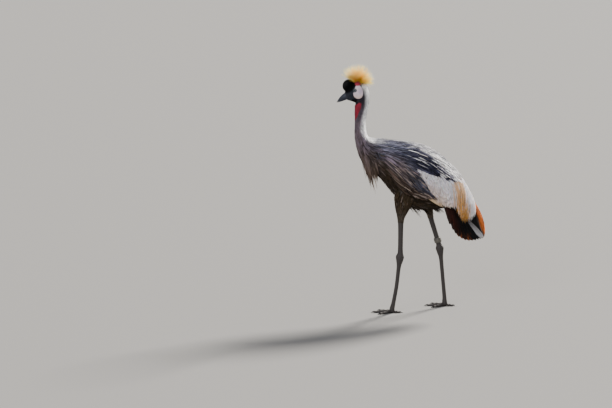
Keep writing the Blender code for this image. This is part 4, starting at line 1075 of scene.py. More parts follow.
def make_white_wing(side, finish):
    """The white coverts with their ragged ends."""
    draw = np.random.default_rng(67 + side)
    place, turn = scatter(WING, (2.9, 7.8), (2, 120), (0.0080, 0.0037), draw)
    degrees = off_back(turn)
    heading = 0.55 * ease(20, 60, degrees) * (1 - ease(95, 120, degrees)) + 0.10
    heading = heading + draw.normal(0, 0.07, len(place))
    length = draw.uniform(0.045, 0.075, len(place))
    end_place, end_degrees, run = tips_of(place, turn, length, heading)
    limit = np.interp(end_degrees, *WHITE_TIPS) + draw.normal(0, 0.10, len(place))
    length = length - np.clip((end_place - limit) * run, 0, None)
    end_place, end_degrees, run = tips_of(place, turn, length, heading)
    below_grey = degrees > np.interp(place, (3.0, 4.2, 5.2, 6.0, 6.4), (66, 60, 50, 30, 2)) - 8
    keep = (length > 0.022) & below_grey & (end_degrees < np.interp(end_place, *WHITE_LOWER_EDGE))
    place, turn, length, heading = (value[keep] for value in (place, turn, length, heading))
    count = len(place)
    rise = (-0.0125, -0.0080, -0.0045 + draw.uniform(-0.0008, 0.0014, count))
    half = 0.0036 * taper(8, 0.5, 0.4, 0.8) * draw.uniform(0.6, 1.25, (count, 1))
    tint = vary(white_markings(place + 0.8, turn), draw, 0.08)
    lay("wing_white", WING, place, turn, length, heading, rise, half, tint, finish, side=side,
        slot="white_feathers", replaced=("coverts",), curl=0.1)


def sweep(name, places, degrees, lift, half, tint, finish, bend=1.0, **more):
    """Long vanes over the wing, from one place and turn in degrees to another."""
    t = unit_steps(half.shape[1])
    start, end = (place[:, None] for place in places)
    first, last = (turn[:, None] for turn in degrees)
    along_wing = start + (end - start) * t
    turns = np.radians(first + (last - first) * t ** np.reshape(bend, (-1, 1)))
    vanes(name, surface(WING, along_wing, turns, lift), outward(WING, along_wing, turns), half, tint,
          unwrap(WING, along_wing[:, 0], turns[:, 0]), finish, curl=0.1, **more)


def make_straw_plumes(side, finish):
    """Long loose plumes over the rear of the wing, white toward the back and golden below."""
    draw = np.random.default_rng(73 + side)
    count = 560
    share = draw.random(count)
    marks = (0, 0.3, 0.55, 0.8, 1)
    place = np.interp(share, marks, (6.5, 6.5, 6.3, 6.0, 5.75)) + draw.uniform(-0.3, 0.9, count)
    degrees = np.interp(share, marks, (2, 14, 26, 38, 48))
    end_place = np.interp(share, marks, (9.75, 9.65, 9.30, 8.9, 8.3))
    end_place = end_place - draw.random(count) ** 2 * 1.3
    end_degrees = np.interp(share, marks, (58, 80, 96, 100, 99)) * draw.uniform(0.94, 1.03, count)
    t = unit_steps(12)
    lift = np.interp(t, (0, 0.2, 1), (-0.0120, -0.0040, 0.0014))
    lift = lift + draw.normal(0.0003, 0.0010, (count, 1)) * t
    half = 0.0019 * taper(12, 0.35, 0.5) * draw.uniform(0.5, 1.3, (count, 1))
    gold = ease(0.30, 0.44, share) * (1 - 0.4 * ease(0.88, 1.0, share))
    gold = gold * (draw.random(count) > 0.06)
    straw = mix(CREAM, GOLD, draw.uniform(0.1, 0.9, count))
    tint = vary(mix(WHITE, straw, gold * 0.60), draw, 0.14)
    deep = mix(GOLD, GOLD * (0.30, 0.30, 0.6), draw.random(count) < 0.22)
    sweep("straw_plumes", (place, end_place), (degrees, end_degrees), lift, half, tint, finish,
          side=side, bend=np.interp(share, (0, 0.5, 1), (2.6, 1.7, 1.0)), slot="straw_bristles",
          tip_tint=vary(mix(WHITE, deep, gold), draw, 0.22), fade=0.75)


def make_pale_barbs(side, finish):
    """The loose pale ends that hang over the tip of the wing."""
    draw = np.random.default_rng(77 + side)
    count = 64
    share = draw.random(count)
    place = 9.4 + draw.uniform(0, 1.5, count)
    degrees = 88 - 8 * share - (place - 9.4) * 5
    end_place = 12.0 + 0.80 * share - draw.random(count) ** 2 * 0.9
    end_degrees = 84 - 30 * share + draw.normal(0, 2.5, count)
    t = unit_steps(9)
    lift = np.interp(t, (0, 0.3, 1), (-0.0040, 0.0002, 0.0012))
    lift = lift + draw.normal(0.0003, 0.0006, (count, 1)) * t
    half = 0.00085 * taper(9, 0.4, 0.4) * draw.uniform(0.5, 1.3, (count, 1))
    sweep("pale_barbs", (place, end_place), (degrees, end_degrees), lift, half,
          vary((0.17, 0.15, 0.15), draw, 0.3, count), finish, side=side, slot="flight_feathers",
          tip_tint=vary((0.90, 0.84, 0.82), draw, 0.2, count))


def make_mantle(side, finish):
    """Plumes from the neck's base that lie over the front of the wing, so that no step shows."""
    draw = np.random.default_rng(87 + side)
    place, turn = scatter(BODY, (11.7, 13.35), (1, 112), (0.0078, 0.0041), draw)
    degrees = off_back(turn)
    count = len(place)
    t = unit_steps(10)
    end = 0.55 + 1.0 * (place - 11.7) / 1.65 + draw.uniform(-0.25, 0.45, count)
    end_degrees = degrees * 0.92 + draw.normal(0, 2.5, count)
    over = 0.0012 + draw.uniform(0, 0.0022, count)[:, None] * t
    body_at = (BODY, place[:, None] + 0.95 * t, turn[:, None])
    wing_at = (WING, np.maximum(end[:, None] * t, 0.02),
               np.radians(degrees[:, None] + (end_degrees - degrees)[:, None] * t))
    share = ease(0.12, 0.62, t)
    path = mix(surface(*body_at, np.interp(t, (0, 0.25, 1), (-0.003, 0.0010, 0.0030))),
               surface(*wing_at, over), share)
    normal = unit(mix(outward(*body_at), outward(*wing_at), share))
    half = 0.0025 * taper(10, 0.4, 0.15) * draw.uniform(0.6, 1.25, (count, 1))
    tint = plume_tints(body_markings(place, turn), place, draw)
    vanes("mantle", path, normal, half, tint, unwrap(BODY, place, turn), finish, side=side,
          tip_tint=wing_tints(end, wing_at[2][:, -1], draw), curl=0.1)


def quill_line(root, end, local, offset, raised):
    """Points and normals along a quill, offset to its side in degrees."""
    place = root[0] + (end[0] - root[0]) * local
    offset = offset * np.interp(place, (6, 10, 12, 13), (1.0, 1.4, 2.2, 3.5))
    turn = np.radians(root[1] + (end[1] - root[1]) * local + offset)
    lift = np.interp(local, (0, 0.2, 1), (-0.0185, -0.0150, -0.0016)) + raised
    return surface(WING, place, turn, lift), outward(WING, place, turn)


def make_flight(side, finish):
    """Secondaries and primaries: shingled vanes with loose barbs at their ends."""
    draw = np.random.default_rng(79 + side)
    quills, strands = 17, 26
    t = unit_steps(18)
    width = 0.0118 * np.interp(t, (0, 0.25, 0.75, 1), (0.35, 0.9, 1.0, 0.72))
    width = width * np.sqrt(1 - np.clip((t - 0.84) / 0.16, 0, 1) ** 2)
    vane_rows, barb_rows = [], []
    for share in np.arange(quills) / (quills - 1):
        root = (6.4 - 0.4 * share, 12 + 94 * share)
        end = (np.interp(share, *QUILL_END_PLACE), np.interp(share, *QUILL_END_TURN))
        path, normal = quill_line(root, end, t, 0.0, 0.0)
        across = unit(np.cross(unit(np.gradient(path, axis=0)), normal))
        vane_rows.append((path, unit(normal + across * 0.24), width, flight_colour(share, 0.35),
                          unwrap(WING, root[0], np.radians(root[1]))))
        pale = ease(0.16, 0.24, share) * (1 - ease(0.30, 0.40, share))
        warm = ease(0.50, 0.60, share) * (1 - ease(0.75, 0.9, share))
        for step_aside in -1 + 2 * np.arange(strands) / (strands - 1):
            begin = draw.uniform(0.50, 0.84)
            last = 1.015 - 0.13 * step_aside ** 2 + draw.uniform(-0.02, 0.02)
            local = begin + (last - begin) * t[::2]
            spread = step_aside * 7.0 * np.interp(local, (0.5, 0.85, 1.0), (0.95, 1.0, 0.65))
            path, normal = quill_line(root, end, local, spread, 0.0005 + draw.uniform(0, 0.0010))
            half = 0.0012 * taper(len(local), 0.45, 0.5, 0.7) * draw.uniform(0.7, 1.3)
            colour = flight_colour(share, step_aside ** 2)
            tip = paint(colour, ((0.62, 0.60, 0.58), pale * draw.random() ** 2.5),
                        (RUST * 0.8, warm * ease(0.66, 0.74, begin) * draw.random()))
            barb_rows.append((path, normal, half, colour, unwrap(WING, root[0] + 2, np.radians(root[1])),
                              tip))
    path, normal, half, colour, root_map = (np.array(column) for column in zip(*vane_rows))
    vanes("flight_vanes", path, normal, half, vary(colour, draw, 0.12), root_map, finish, side=side,
          slot="flight_feathers", replaced=("flight",), camber=0.05, curl=0.14)
    path, normal, half, colour, root_map, tip = (np.array(column) for column in zip(*barb_rows))
    vanes("flight_barbs", path, normal, half, vary(colour, draw, 0.2), root_map, finish, side=side,
          slot="flight_feathers", tip_tint=tip)


# Tail


def make_tail(finish):
    draw = np.random.default_rng(89)
    feathers, strands, steps = 12, 16, 10
    upward = unit(np.array((0.875, 0.0, 0.483)))
    t = unit_steps(steps)
    paths, maps = [], []
    for number in range(feathers):
        aside = (number + 1) // 2 * (-1 if number % 2 else 1)
        tip = TAIL_TIP + (0.0, aside * 0.0036, abs(aside) * 0.003)
        start = TAIL_ROOT + (0.0, aside * 0.0018, 0.0)
        under = number * 0.0006 + 0.004 * np.sin(pi * t)
        for strand in np.linspace(-1, 1, strands):
            path = start + np.outer(t * (1 - 0.10 * strand ** 2), tip - start) - np.outer(under, upward)
            path[:, 1] += strand * 0.0095 * np.interp(t, (0, 0.3, 0.85, 1), (0.4, 1, 0.9, 0.4))
            paths.append(path)
            maps.append((0.1 + 0.8 * (number + 0.5) / feathers, 0.5 + 0.3 * strand))
    count = len(paths)
    half = np.tile(0.0011 * taper(steps, 0.5, 0.6, 0.7), (count, 1))
    vanes("tail_feathers", np.array(paths), np.tile(upward, (count, 1)), half,
          vary(BLACK * 1.6, draw, 0.2, count), np.array(maps), finish, slot="black_feathers",
          replaced=("tail",))


def make_tail_coverts(finish):
    """Soft feathers that run from the body's end over the root of the tail, above and below it."""
    draw = np.random.default_rng(91)
    count = 620
    place = draw.uniform(19.8, 21.7, count)
    turn = draw.uniform(-pi, pi, count)
    out = outward(BODY, place, turn)
    t = unit_steps(8)
    length = draw.uniform(0.045, 0.085, count)
    ahead = unit(surface(BODY, place + 0.1, turn) - surface(BODY, place, turn))
    spread = out * (0.0, 0.30, 0.0) + draw.normal(0, 0.05, (count, 3))
    way = strung(ahead, 1 - t) + np.outer(0.5 + t, unit(TAIL_TIP - TAIL_ROOT))
    path = grown(surface(BODY, place, turn, -0.0030), way + spread[:, None, :], length)
    half = 0.0034 * taper(8, 0.5, 0.3) * draw.uniform(0.7, 1.25, (count, 1))
    tint = vary(mix(BELLY * 1.2, GREY * 0.5, draw.uniform(0, 0.6, count)), draw, 0.3)
    vanes("tail_coverts", path, out, half, tint, unwrap(BODY, place, turn), finish, curl=0.1)


# Crest and cushion

BRISTLE_COUNT = 1900
BRISTLE_LENGTH = 0.084
# The fan's first and last angle, up from straight behind, and its lean to the sides.
FAN_FRONT, FAN_BACK = 145, -14
FAN_LEAN = 62
GOLDEN_SECTION = 0.6180339887
PILE_COUNT = 9000


def make_crest(finish):
    """Stiff golden bristles, in a fan over the hind crown."""
    draw = np.random.default_rng(97)
    count = BRISTLE_COUNT
    share = (np.arange(count) + 0.5) / count
    aside = (np.arange(count) * GOLDEN_SECTION) % 1.0 * 2 - 1
    aside = aside * (0.45 + 0.55 * np.abs(aside))
    fan = FAN_FRONT - (FAN_FRONT - FAN_BACK) * share ** 1.15
    fan = np.radians(fan + draw.normal(0, 6, count))
    lean = np.radians(FAN_LEAN * aside + draw.normal(0, 5, count))
    direction = np.stack([np.cos(fan) * np.cos(lean), np.sin(lean), np.sin(fan) * np.cos(lean)], axis=1)
    place = 3.28 + 1.02 * share + draw.normal(0, 0.07, count)
    turn = np.radians(-20.4 * aside) + draw.normal(0, 0.05, count)
    height = np.interp(share, (0, 0.12, 0.30, 0.48, 0.7, 1), (0.92, 1.0, 0.95, 0.98, 0.80, 0.74))
    height = height - 0.08 * np.abs(aside)
    length = BRISTLE_LENGTH * height * (1.0 - 0.70 * draw.random(count) ** 1.1)
    t = unit_steps(7)
    bow = draw.normal(0, 0.004, (count, 3))
    path = straight(surface(BODY, place, turn, -0.0006), direction, length, 7)
    path = path + strung(bow, np.sin(pi * t))
    path[:, :, 2] -= (length * 0.05)[:, None] * t ** 2
    half = 0.00066 * (1 - 0.68 * t) * draw.uniform(0.8, 1.3, (count, 1))
    half[:, -1] = 0
    tint = vary(mix((1.0, 0.40, 0.030), (1.0, 0.19, 0.015), draw.random(count) ** 1.4), draw, 0.12)
    orange = (draw.random(count) < 0.34) * ease(0.08, 0.2, share)
    orange = orange * (1 - ease(0.5, 0.8, share))
    vanes("crest_bristles", path, unit(np.cross(direction, (0.3, 1.0, 0.2))), half, tint,
          np.stack([0.1 + 0.8 * share, 0.5 + 0.4 * aside], axis=1), finish, slot="straw_bristles",
          replaced=("crest",), camber=0.9,
          tip_tint=vary(mix((1.0, 0.57, 0.045), (1.0, 0.26, 0.012), orange), draw, 0.1))


def make_cushion(under_finish, finish):
    """The velvet cushion on the forehead: a rounded form under a dense short pile."""
    rings = []
    for polar in np.linspace(0.03, pi - 0.03, 40):
        turns = circle(56)
        wide = math.sin(polar) * (1 + 0.02 * np.sin(3 * turns + polar * 2))
        spokes = np.stack([wide * np.cos(turns), wide * np.sin(turns), np.full(56, math.cos(polar))], axis=1)
        rings.append(CUSHION_AT + spokes * (CUSHION_SIZE - 0.0004))
    mesh = loft("cushion", rings)
    tint_points(mesh, BLACK * 0.7)
    link("cushion", mesh, under_finish, ("forehead_cushion",))
    draw = np.random.default_rng(101)
    count = PILE_COUNT
    k = np.arange(count) + 0.5
    polar = np.arccos(1 - 2 * k / count)
    turn = pi * (1 + 5 ** 0.5) * k
    spoke = np.stack([np.sin(polar) * np.cos(turn), np.sin(polar) * np.sin(turn), np.cos(polar)], axis=1)
    out = unit(spoke / CUSHION_SIZE)
    backward = np.array((0.75, 0.0, 0.25))
    back = unit(backward - out * (out @ backward)[:, None])
    lean = unit(out + back * 1.3 + draw.normal(0, 0.25, (count, 3)))
    length = draw.uniform(0.0020, 0.0032, count)
    path = straight(CUSHION_AT + spoke * (CUSHION_SIZE - 0.0009), lean, length, 4)
    half = 0.00042 * (1 - unit_steps(4) * 0.8) * draw.uniform(0.8, 1.2, (count, 1))
    half[:, -1] = 0
    root_map = np.stack([(turn / (2 * pi)) % 1.0 * 0.9 + 0.05, polar / pi * 0.9 + 0.05], axis=1)
    vanes("cushion_pile", path, out, half, vary(BLACK * 0.55, draw, 0.3, count), root_map, finish,
          slot="black_velvet", camber=0.5)


# Eyes, bill, cheeks and wattle

LID_OPENING = 0.0051
LID_THICKNESS = 0.00105
# The mouth's height at the bill's base, as a share from the keel to the culmen.
MOUTH_SHARE = 0.40
MOUTH_GAP = 0.00018
BILL_HALF_WIDTH = 0.008075
WATTLE_SPAN = (6.75, 9.65)
WATTLE_SWELL = 0.0036


def make_eyes(finish, lid_finish):
    place, turn = (np.array(value) for value in find_on(BODY, EYE_AT, (1.5, 6.0)))
    for side in (LEFT, RIGHT):
        name = SIDE_NAMES[side]
        centre = surface(BODY, place, turn * -side, -EYE_RADIUS * 0.62)
        axis = unit(outward(BODY, place, turn * -side) + (-0.12, 0.0, 0.0))
        first = unit(np.cross(axis, (0.0, 0.0, 1.0)))
        second = np.cross(axis, first)
        rings = []
        for polar in np.linspace(0.02, pi - 0.02, 44):
            bulge = EYE_RADIUS * (1 + 0.035 * bell(polar, 0, 0.42))
            size = bulge * math.sin(polar)
            rings.append(oval(centre + bulge * math.cos(polar) * axis, first, second, circle(56), size, size))
        mesh = loft(f"eyeball_{name}", rings)
        spoke = points_of(mesh) - centre
        polar_at = np.arccos(np.clip(unit(spoke) @ axis, -1, 1)) / pi
        pair_map(mesh, np.arctan2(spoke @ second, spoke @ first) / (2 * pi) + 0.5, polar_at)
        values = mesh.attributes.new("Look", "FLOAT", "POINT")
        values.data.foreach_set("value", polar_at.astype(np.float32))
        link(f"eyeball_{name}", mesh, finish, (f"eye_{name}",))
        make_lids(name, centre, axis, lid_finish)


def make_lids(name, centre, axis, finish):
    """Upper and lower lid: a soft rim of bare skin, drawn to a corner before and behind."""
    first = unit(np.cross((0.0, 0.0, 1.0), axis))
    second = unit(np.cross(axis, first))
    rings = []
    for turn in circle(60):
        spoke = first * math.cos(turn) + second * math.sin(turn)
        corner_pull = abs(math.cos(turn)) ** 6 * 0.0011
        opening = LID_OPENING - 0.0005 * math.sin(turn) ** 2 + corner_pull
        thick = LID_THICKNESS + 0.00025 * math.sin(turn)
        middle = centre + spoke * (opening + 0.0008) + axis * (EYE_RADIUS * 0.66 - 0.7 * corner_pull)
        rings.append(oval(middle, spoke, axis, circle(12), thick, thick))
    mesh = loft("lids", rings, capped=False)
    tint_points(mesh, (0.028, 0.028, 0.033))
    link(f"lids_{name}", mesh, finish)


def bill_sides(turns, inner, sign):
    """Half widths round the bill: flat-sided, with the nostril's slit in a groove on the upper one."""
    sides = np.cos(turns) * (1 - 0.16 * np.sin(turns) ** 4)
    if sign > 0:
        for at, width, depth in ((0.85, 0.20, 0.16 * bell(inner, 0.26, 0.22)),
                                 (0.80, 0.11, 0.22 * bell(inner, 0.27, 0.075))):
            sides = sides * (1 - (bell(turns, at, width) + bell(turns, pi - at, width)) * depth)
    return sides


def make_bill(finish):
    """Upper and lower bill with a low ridge, a nostril groove and a fine cutting edge."""
    row = along(BODY, 0.02)
    culmen, keel = row[0:2], row[2:4]
    mouth = keel + (culmen - keel) * MOUTH_SHARE
    turns = np.linspace(0, pi, 25)
    shares = np.concatenate([np.linspace(-0.05, 0.9, 40), np.linspace(0.92, 1.0, 10)])
    for name, edge, end, sign, out in (
            ("upper", culmen, BILL_TIP, 1, np.array((-0.45, 0.89)) * 0.0034),
            ("lower", keel, BILL_TIP + (0.0022, 0.0002), -1, np.array((0.10, -0.99)) * 0.0012)):
        rings = []
        for share in shares:
            seam = mouth + (end - mouth) * share
            inner = max(share, 0.0)
            reach = (edge - mouth) * (1 - inner) + out * math.sin(pi * inner**0.9)
            reach = reach + (0.0, 0.0011 * sign * inner)
            half_width = BILL_HALF_WIDTH * (1 - inner)**0.75 + 0.0010
            rings.append(np.stack([seam[0] + reach[0] * np.sin(turns),
                                   half_width * bill_sides(turns, inner, sign),
                                   seam[1] + reach[1] * np.sin(turns) + sign * MOUTH_GAP], axis=1))
        mesh = loft(f"bill_{name}_fine", rings)
        points = points_of(mesh)
        pair_map(mesh, (points[:, 0] + 0.31) / 0.05, points[:, 1] / 0.03 + 0.5)
        link(f"bill_{name}_fine", mesh, finish, (f"bill_{name}",))


def patch_point(middle, size, turn, share, side, lift):
    """A point of a bare patch on the side of the head."""
    x = middle[0] + share * size[0] * math.cos(turn) * (1.0 if math.cos(turn) > 0 else 0.93)
    z = middle[1] + share * size[1] * (math.sin(turn) - 0.107 * math.cos(2 * turn))
    place, around = find_on(BODY, (x, z), (1.5, 7.0))
    dip = 0.0016 * bell(x, EYE_AT[0], 0.0080) * bell(z, EYE_AT[1], 0.0080)
    return surface(BODY, np.array(place), np.array(around * -side), lift - dip)


def make_patch(name, middle, size, side, height, tint, spots, finish, replaced=()):
    """Thin bare skin with creases, sunk at its rim and fuller in the middle."""
    turns = circle(72)
    rings = []
    for share in np.linspace(0.03, 1.0, 24):
        ring = []
        for turn in turns:
            crease = 0.00038 * math.sin(9 * share * math.cos(turn) * 2 + 7 * share * math.sin(turn))
            crease += 0.00028 * math.sin(31 * share * math.sin(turn + 0.6) + 2)
            crease += 0.00020 * math.sin(47 * share * math.cos(turn + 0.9) + 3 * math.sin(turn))
            lift = height * (1 - share ** 4) + 0.0001 + crease * (1 - share ** 6)
            ring.append(patch_point(middle, size, turn, share, side, lift))
        rings.append(ring)
    for share in (1.0, 0.03):
        rings.append([patch_point(middle, size, turn, share, side, -0.0012) for turn in turns])
    mesh = loft(name, rings)
    x, _, z = points_of(mesh).T
    pair_map(mesh, (x + 0.24) / 0.05, (z - 0.87) / 0.09)
    tint_points(mesh, paint(tint, *spots(x, z)))
    link(f"{name}_{SIDE_NAMES[side]}", mesh, finish, replaced)


def cheek_spots(x, z):
    """A grey-mauve hollow behind the eye, painted shade; warmer skin below; and the dark rim of the eye."""
    off_eye = np.hypot((x - EYE_AT[0] + 0.0015) / 0.0108, (z - EYE_AT[1]) / 0.0084)
    return (((0.38, 0.31, 0.43), bell(x, -0.2065, 0.0070) * bell(z, 0.911, 0.012) * 0.8),
            ((0.70, 0.50, 0.42), ease(-0.1, -0.8, (z - CHEEK_AT[1]) / CHEEK_SIZE[1]) * 0.7),
            ((0.030, 0.030, 0.036), ease(1.12, 0.88, off_eye)))


def red_spots(x, z):
    return (((0.09, 0.015, 0.015), bell(x, -0.2095, 0.0035) * bell(z, 0.9395, 0.0035) * 0.8),)


def make_cheeks(finish):
    """The bare white cheeks, and the red skin over each."""
    for side in (LEFT, RIGHT):
        make_patch("cheek_skin", CHEEK_AT, CHEEK_SIZE, side, 0.0014, CHEEK_WHITE, cheek_spots, finish,
                   (f"cheek_{SIDE_NAMES[side]}",))
        make_patch("red_patch", RED_AT, RED_SIZE, side, 0.0030, CHEEK_RED, red_spots, finish)


def make_wattle(finish):
    """The red throat wattle: soft folds on the front of the neck that join in one point."""
    places = np.linspace(*WATTLE_SPAN, 90)
    shares = np.linspace(-1, 1, 81)
    fold = 0.70 + 0.30 * np.abs(np.sin(pi * shares))
    edge = np.sqrt(1 - 0.97 * shares**2)
    rings = []
    for place, t in zip(places, unit_steps(90)):
        spread = np.interp(place, (6.75, 7.0, 8.0, 9.0, 9.45, 9.65), (76, 84, 82, 57, 36, 14))
        turns = np.radians(180 + spread * shares)
        swell = 0.0006 + WATTLE_SWELL * ease(0, 0.22, t) * (1 - ease(0.55, 1.0, t) * 0.7)
        wrinkle = 1 + 0.16 * np.sin(17 * shares + 4 * t) + 0.10 * np.sin(31 * shares - 5 * t)
        wrinkle = wrinkle + 0.05 * np.sin(23 * t + 9 * np.sin(5 * shares))
        over = surface(BODY, place, turns, swell * fold * wrinkle * edge)
        rings.append(np.concatenate([over, surface(BODY, place, turns, -0.0022)[::-1]]))
    mesh = loft("wattle_fine", rings)
    _, y, z = points_of(mesh).T
    # Darker crimson stripes over the wattle: painted shade in its folds.
    shade = 0.5 + 0.5 * np.sin(np.abs(y) * 620 + np.sin(z * 190) * 1.3)
    tint_points(mesh, mix((0.240, 0.006, 0.024), (0.120, 0.004, 0.016), shade * 0.6))
    pair_map(mesh, y / 0.06 + 0.5, (z - 0.78) / 0.1)
    link("wattle_fine", mesh, finish, ("wattle",))


# Legs and feet

# Each toe: its heading in degrees off straight ahead, and its length.
TOES = ((-34, 0.060), (0, 0.072), (36, 0.058), (176, 0.034))
TOE_RADIUS = 0.0062
KNUCKLE_HEIGHT = 0.012
TOE_PLATE_LENGTH = 0.0042
PLATE_HEIGHT = 0.0062
PLATE_RELIEF = 0.00065
SCALE_HEIGHT = 0.0034
SCALE_RELIEF = 0.00042
# The claw starts inside the toe's end.
CLAW_START = -0.0030
CLAW_LENGTH = 0.0172
BAND_SPAN = (5.32, 5.80)
BAND_OUTSIDE, BAND_INSIDE = 0.0048, 0.0006


def make_legs(finish, claw_finish):
    """Shanks, ankles and tarsi with broad plates in front and small scales at the sides and back."""
    turns = circle(64)
    for side in (LEFT, RIGHT):
        name = SIDE_NAMES[side]
        places = np.linspace(3.05, 12, 760)
        rings = leg_rings(LEGS[side], places, 64)
        middle = rings.mean(1, keepdims=True)
        strides = np.linalg.norm(np.diff(middle[:, 0], axis=0), axis=1)
        height = np.concatenate([[0], np.cumsum(strides)])[:, None]
        front = ease(0.25, 0.75, np.cos(turns))
        plates = np.abs(np.sin(pi * height / PLATE_HEIGHT)) ** 0.45 - 0.75
        column = turns * 9 / pi
        shifted = height / SCALE_HEIGHT + 0.5 * (np.floor(column) % 2)
        small = (np.abs(np.sin(pi * shifted)) * np.abs(np.sin(pi * column))) ** 0.5 - 0.6
        bare = ease(3.2, 3.8, places)[:, None]
        lift = (PLATE_RELIEF * plates * front + SCALE_RELIEF * small * (1 - front)) * bare
        mesh = loft("leg", rings + unit(rings - middle) * lift[..., None])
        x, y, z = points_of(mesh).T
        pair_map(mesh, np.arctan2(y - side * 0.068, x) / 6.28 + 0.5, z / 0.45)
        groove = np.concatenate([(lift / 0.0006).ravel(), [0, 0]])
        tint_points(mesh, mix(LEG_DARK, LEG_PALE, ease(-0.5, 0.35, groove)))
        link(f"leg_{name}", mesh, finish, (f"shank_{name}", f"ankle_{name}", f"tarsus_{name}"))
        make_foot(name, LEGS[side], finish, claw_finish)


def make_foot(name, rows, finish, claw_finish):
    turns = circle(40)
    end = along(rows, 12)
    travel = unit((end - along(rows, 11.96))[0:3])
    fore, aside = square_to(travel)
    top = end[0:3] - travel * 0.0008
    knuckle = top + travel * 0.010
    rings = []
    for share in unit_steps(18):
        size = np.interp(share, (0, 0.45, 0.75, 1.0), (1.0, 1.08, 1.0, 0.62))
        middle = top + (np.array((*knuckle[:2], 0.0004)) - top) * share
        rings.append(oval(middle, fore, aside, turns, end[3] * size, end[4] * size))
        rings[-1][:, 2] = np.maximum(rings[-1][:, 2], 0.0004)
    forms = [loft("foot", rings)]
    for number, (heading, length) in enumerate(TOES):
        angle = math.radians(heading)
        ahead = np.array((-math.cos(angle), -math.sin(angle), 0.0))
        across = np.array((ahead[1], -ahead[0], 0.0))
        toe = []
        for share in unit_steps(110):
            radius = TOE_RADIUS * (1 - 0.38 * share) * (1 + 0.10 * math.cos(6 * pi * share))
            height = radius * 0.86 + (KNUCKLE_HEIGHT - TOE_RADIUS) * (1 - share)**3 * 0.6
            middle = np.array((*knuckle[:2], height)) + ahead * length * share
            plate = abs(math.sin(pi * share * length / TOE_PLATE_LENGTH)) ** 0.5
            ridge = 0.95 + 0.11 * plate * np.clip(np.sin(turns), 0, 1)
            ring = middle + np.outer(np.cos(turns), across) * radius
            ring[:, 2] = np.maximum(ring[:, 2] + np.sin(turns) * radius * ridge, 0.0003)
            toe.append(ring)
        forms.append(loft("toe", toe))
        make_claw(f"claw_{name}_{number + 1}", toe[-1], ahead, claw_finish)
    joined = bmesh.new()
    for form in forms:
        joined.from_mesh(form)
    mesh = bpy.data.meshes.new("foot")
    joined.to_mesh(mesh)
    joined.free()
    map_from_above(mesh, 0.14)
    tint_points(mesh, (LEG_DARK + LEG_PALE) / 2)
    link(f"foot_fine_{name}", mesh, finish, (f"foot_{name}",))


def make_claw(node, ring, ahead, finish):
    """A blunt curved claw that grows out of the toe's end."""
    start = ring.mean(0)
    rings = []
    for share in unit_steps(30):
        middle = start + ahead * (CLAW_START + CLAW_LENGTH * share)
        middle[2] = start[2] * (1 + 0.30 * math.sin(pi * share)) * (1 - share**2 * 0.84)
        size = np.interp(share, (0, 0.2, 0.5, 0.8, 1), (0.80, 0.78, 0.58, 0.30, 0.05))
        rings.append(middle + (ring - start) * size)
        rings[-1][:, 2] = np.maximum(rings[-1][:, 2], 0.0004)
    mesh = loft("claw", rings)
    map_from_above(mesh, 0.03)
    link(node + "_fine", mesh, finish, (node,))


def make_ring(finish):
    """The band on the right leg, with rounded rims."""
    places = np.linspace(*BAND_SPAN, 9)
    outer, inner = (leg_rings(LEGS[RIGHT], places, 64, lift) for lift in (BAND_OUTSIDE, BAND_INSIDE))
    rim = np.array([0.0012, 0.0004, 0.0, 0.0, 0.0, 0.0, 0.0, 0.0004, 0.0012])[:, None, None]
    mesh = loft("band", np.concatenate([outer - unit(outer - inner) * rim, inner[::-1]]), capped=False)
    map_from_above(mesh, 0.05)
    link("leg_band", mesh, finish, ("leg_ring",))


# Stage


FLOOR_REACH = 30.0


def make_stage():
    mesh = bpy.data.meshes.new("floor")
    corners = [(x * FLOOR_REACH, y * FLOOR_REACH, 0) for x, y in ((-1, -1), (1, -1), (1, 1), (-1, 1))]
    mesh.from_pydata(corners, [], [(0, 1, 2, 3)])
    mesh.materials.append(Finish("floor").look({"Base Color": (0.17, 0.167, 0.161), "Roughness": 0.9}))
    add_object("floor", mesh)
    world = bpy.data.worlds.new("studio")
    bpy.context.scene.world = world
    world.use_nodes = True
    back = world.node_tree.nodes["Background"]
    back.inputs["Color"].default_value = (0.93, 0.95, 1.0, 1.0)
    back.inputs["Strength"].default_value = 0.55
    for name, toward, strength, angle, colour in (
            ("key", (0.62, 0.79, 0.70), 13.0, 14, (1.0, 0.95, 0.88)),
            ("fill", (-0.45, -1.0, 0.60), 2.05, 34, (0.97, 0.97, 1.0))):
        lamp = bpy.data.lights.new(name, "SUN")
        lamp.energy = strength
        lamp.angle = math.radians(angle)
        lamp.color = colour
        add_object(name, lamp).rotation_euler = Vector(toward).to_track_quat("Z", "Y").to_euler()


AIM = (-0.4290, 0.0, 0.4391)
CAMERA_AZIMUTH = 1.5
CAMERA_ELEVATION = 10.0
CAMERA_DISTANCE = 12.0
VIEW_WIDTH = 2.511


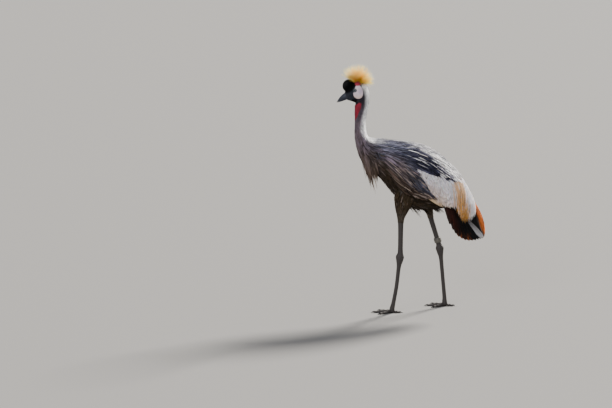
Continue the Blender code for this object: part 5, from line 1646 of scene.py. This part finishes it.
def make_camera():
    camera = bpy.data.cameras.new("camera")
    camera.sensor_width = 36.0
    camera.lens = 36.0 * CAMERA_DISTANCE / VIEW_WIDTH
    camera.clip_end = 100.0
    made = add_object("camera", camera)
    azimuth = math.radians(CAMERA_AZIMUTH)
    elevation = math.radians(CAMERA_ELEVATION)
    level = math.cos(elevation)
    direction = Vector((math.sin(azimuth) * level, -math.cos(azimuth) * level, math.sin(elevation)))
    made.location = Vector(AIM) + direction * CAMERA_DISTANCE
    made.rotation_euler = (-direction).to_track_quat("-Z", "Y").to_euler()
    bpy.context.scene.camera = made


def main():
    feather = plumage("feather_grey", shaft=0.5, edge=0.55, root_shade=0.62)
    soft = plumage("feather_white", roughness=0.68, sheen=0.1, barbs=40.0, shaft=0.12, edge=0.0,
                   contrast=0.13, gloss=0.3, root_shade=0.84, glow=0.3)
    dark = plumage("feather_dark", roughness=0.5, barbs=90.0, shaft=0.3, edge=0.2, contrast=0.35, gloss=0.16)
    plain = {"barbs": 8.0, "shaft": 0.0, "edge": 0.0, "contrast": 0.3}
    short = plumage("feather_short", roughness=0.75, gloss=0.08, **plain)
    velvet = plumage("velvet", roughness=0.85, gloss=0.03, **plain)
    bristle = plumage("bristle", roughness=0.45, barbs=12.0, shaft=0.0, edge=0.0, contrast=0.16,
                      gloss=0.3, root_shade=1.0, glow=0.9)
    skin = skin_finish("skin")
    horn = horn_finish("horn", (0.006, 0.007, 0.012), (0.026, 0.031, 0.050))
    claw = horn_finish("claw", (0.006, 0.006, 0.007), (0.030, 0.028, 0.028), 0.30)
    band = horn_finish("band", (0.050, 0.046, 0.040), (0.13, 0.12, 0.10), 0.5)
    make_skin(skin)
    make_head_coat(short)
    make_chin_tuft(short)
    make_neck_coat(feather)
    make_body_coat(feather)
    make_breast_plumes(feather)
    make_belly_tufts(feather)
    make_thigh_coats(short)
    for side in (LEFT, RIGHT):
        make_grey_wing(side, feather)
        make_mantle(side, feather)
        make_white_wing(side, soft)
        make_straw_plumes(side, soft)
        make_flight(side, dark)
        make_pale_barbs(side, soft)
    make_tail(dark)
    make_tail_coverts(feather)
    make_crest(bristle)
    make_cushion(skin, velvet)
    make_eyes(eye_finish(), skin)
    make_bill(horn)
    make_cheeks(skin)
    make_wattle(skin)
    make_legs(skin_finish("leg_skin"), claw)
    make_ring(band)
    make_stage()
    make_camera()


main()
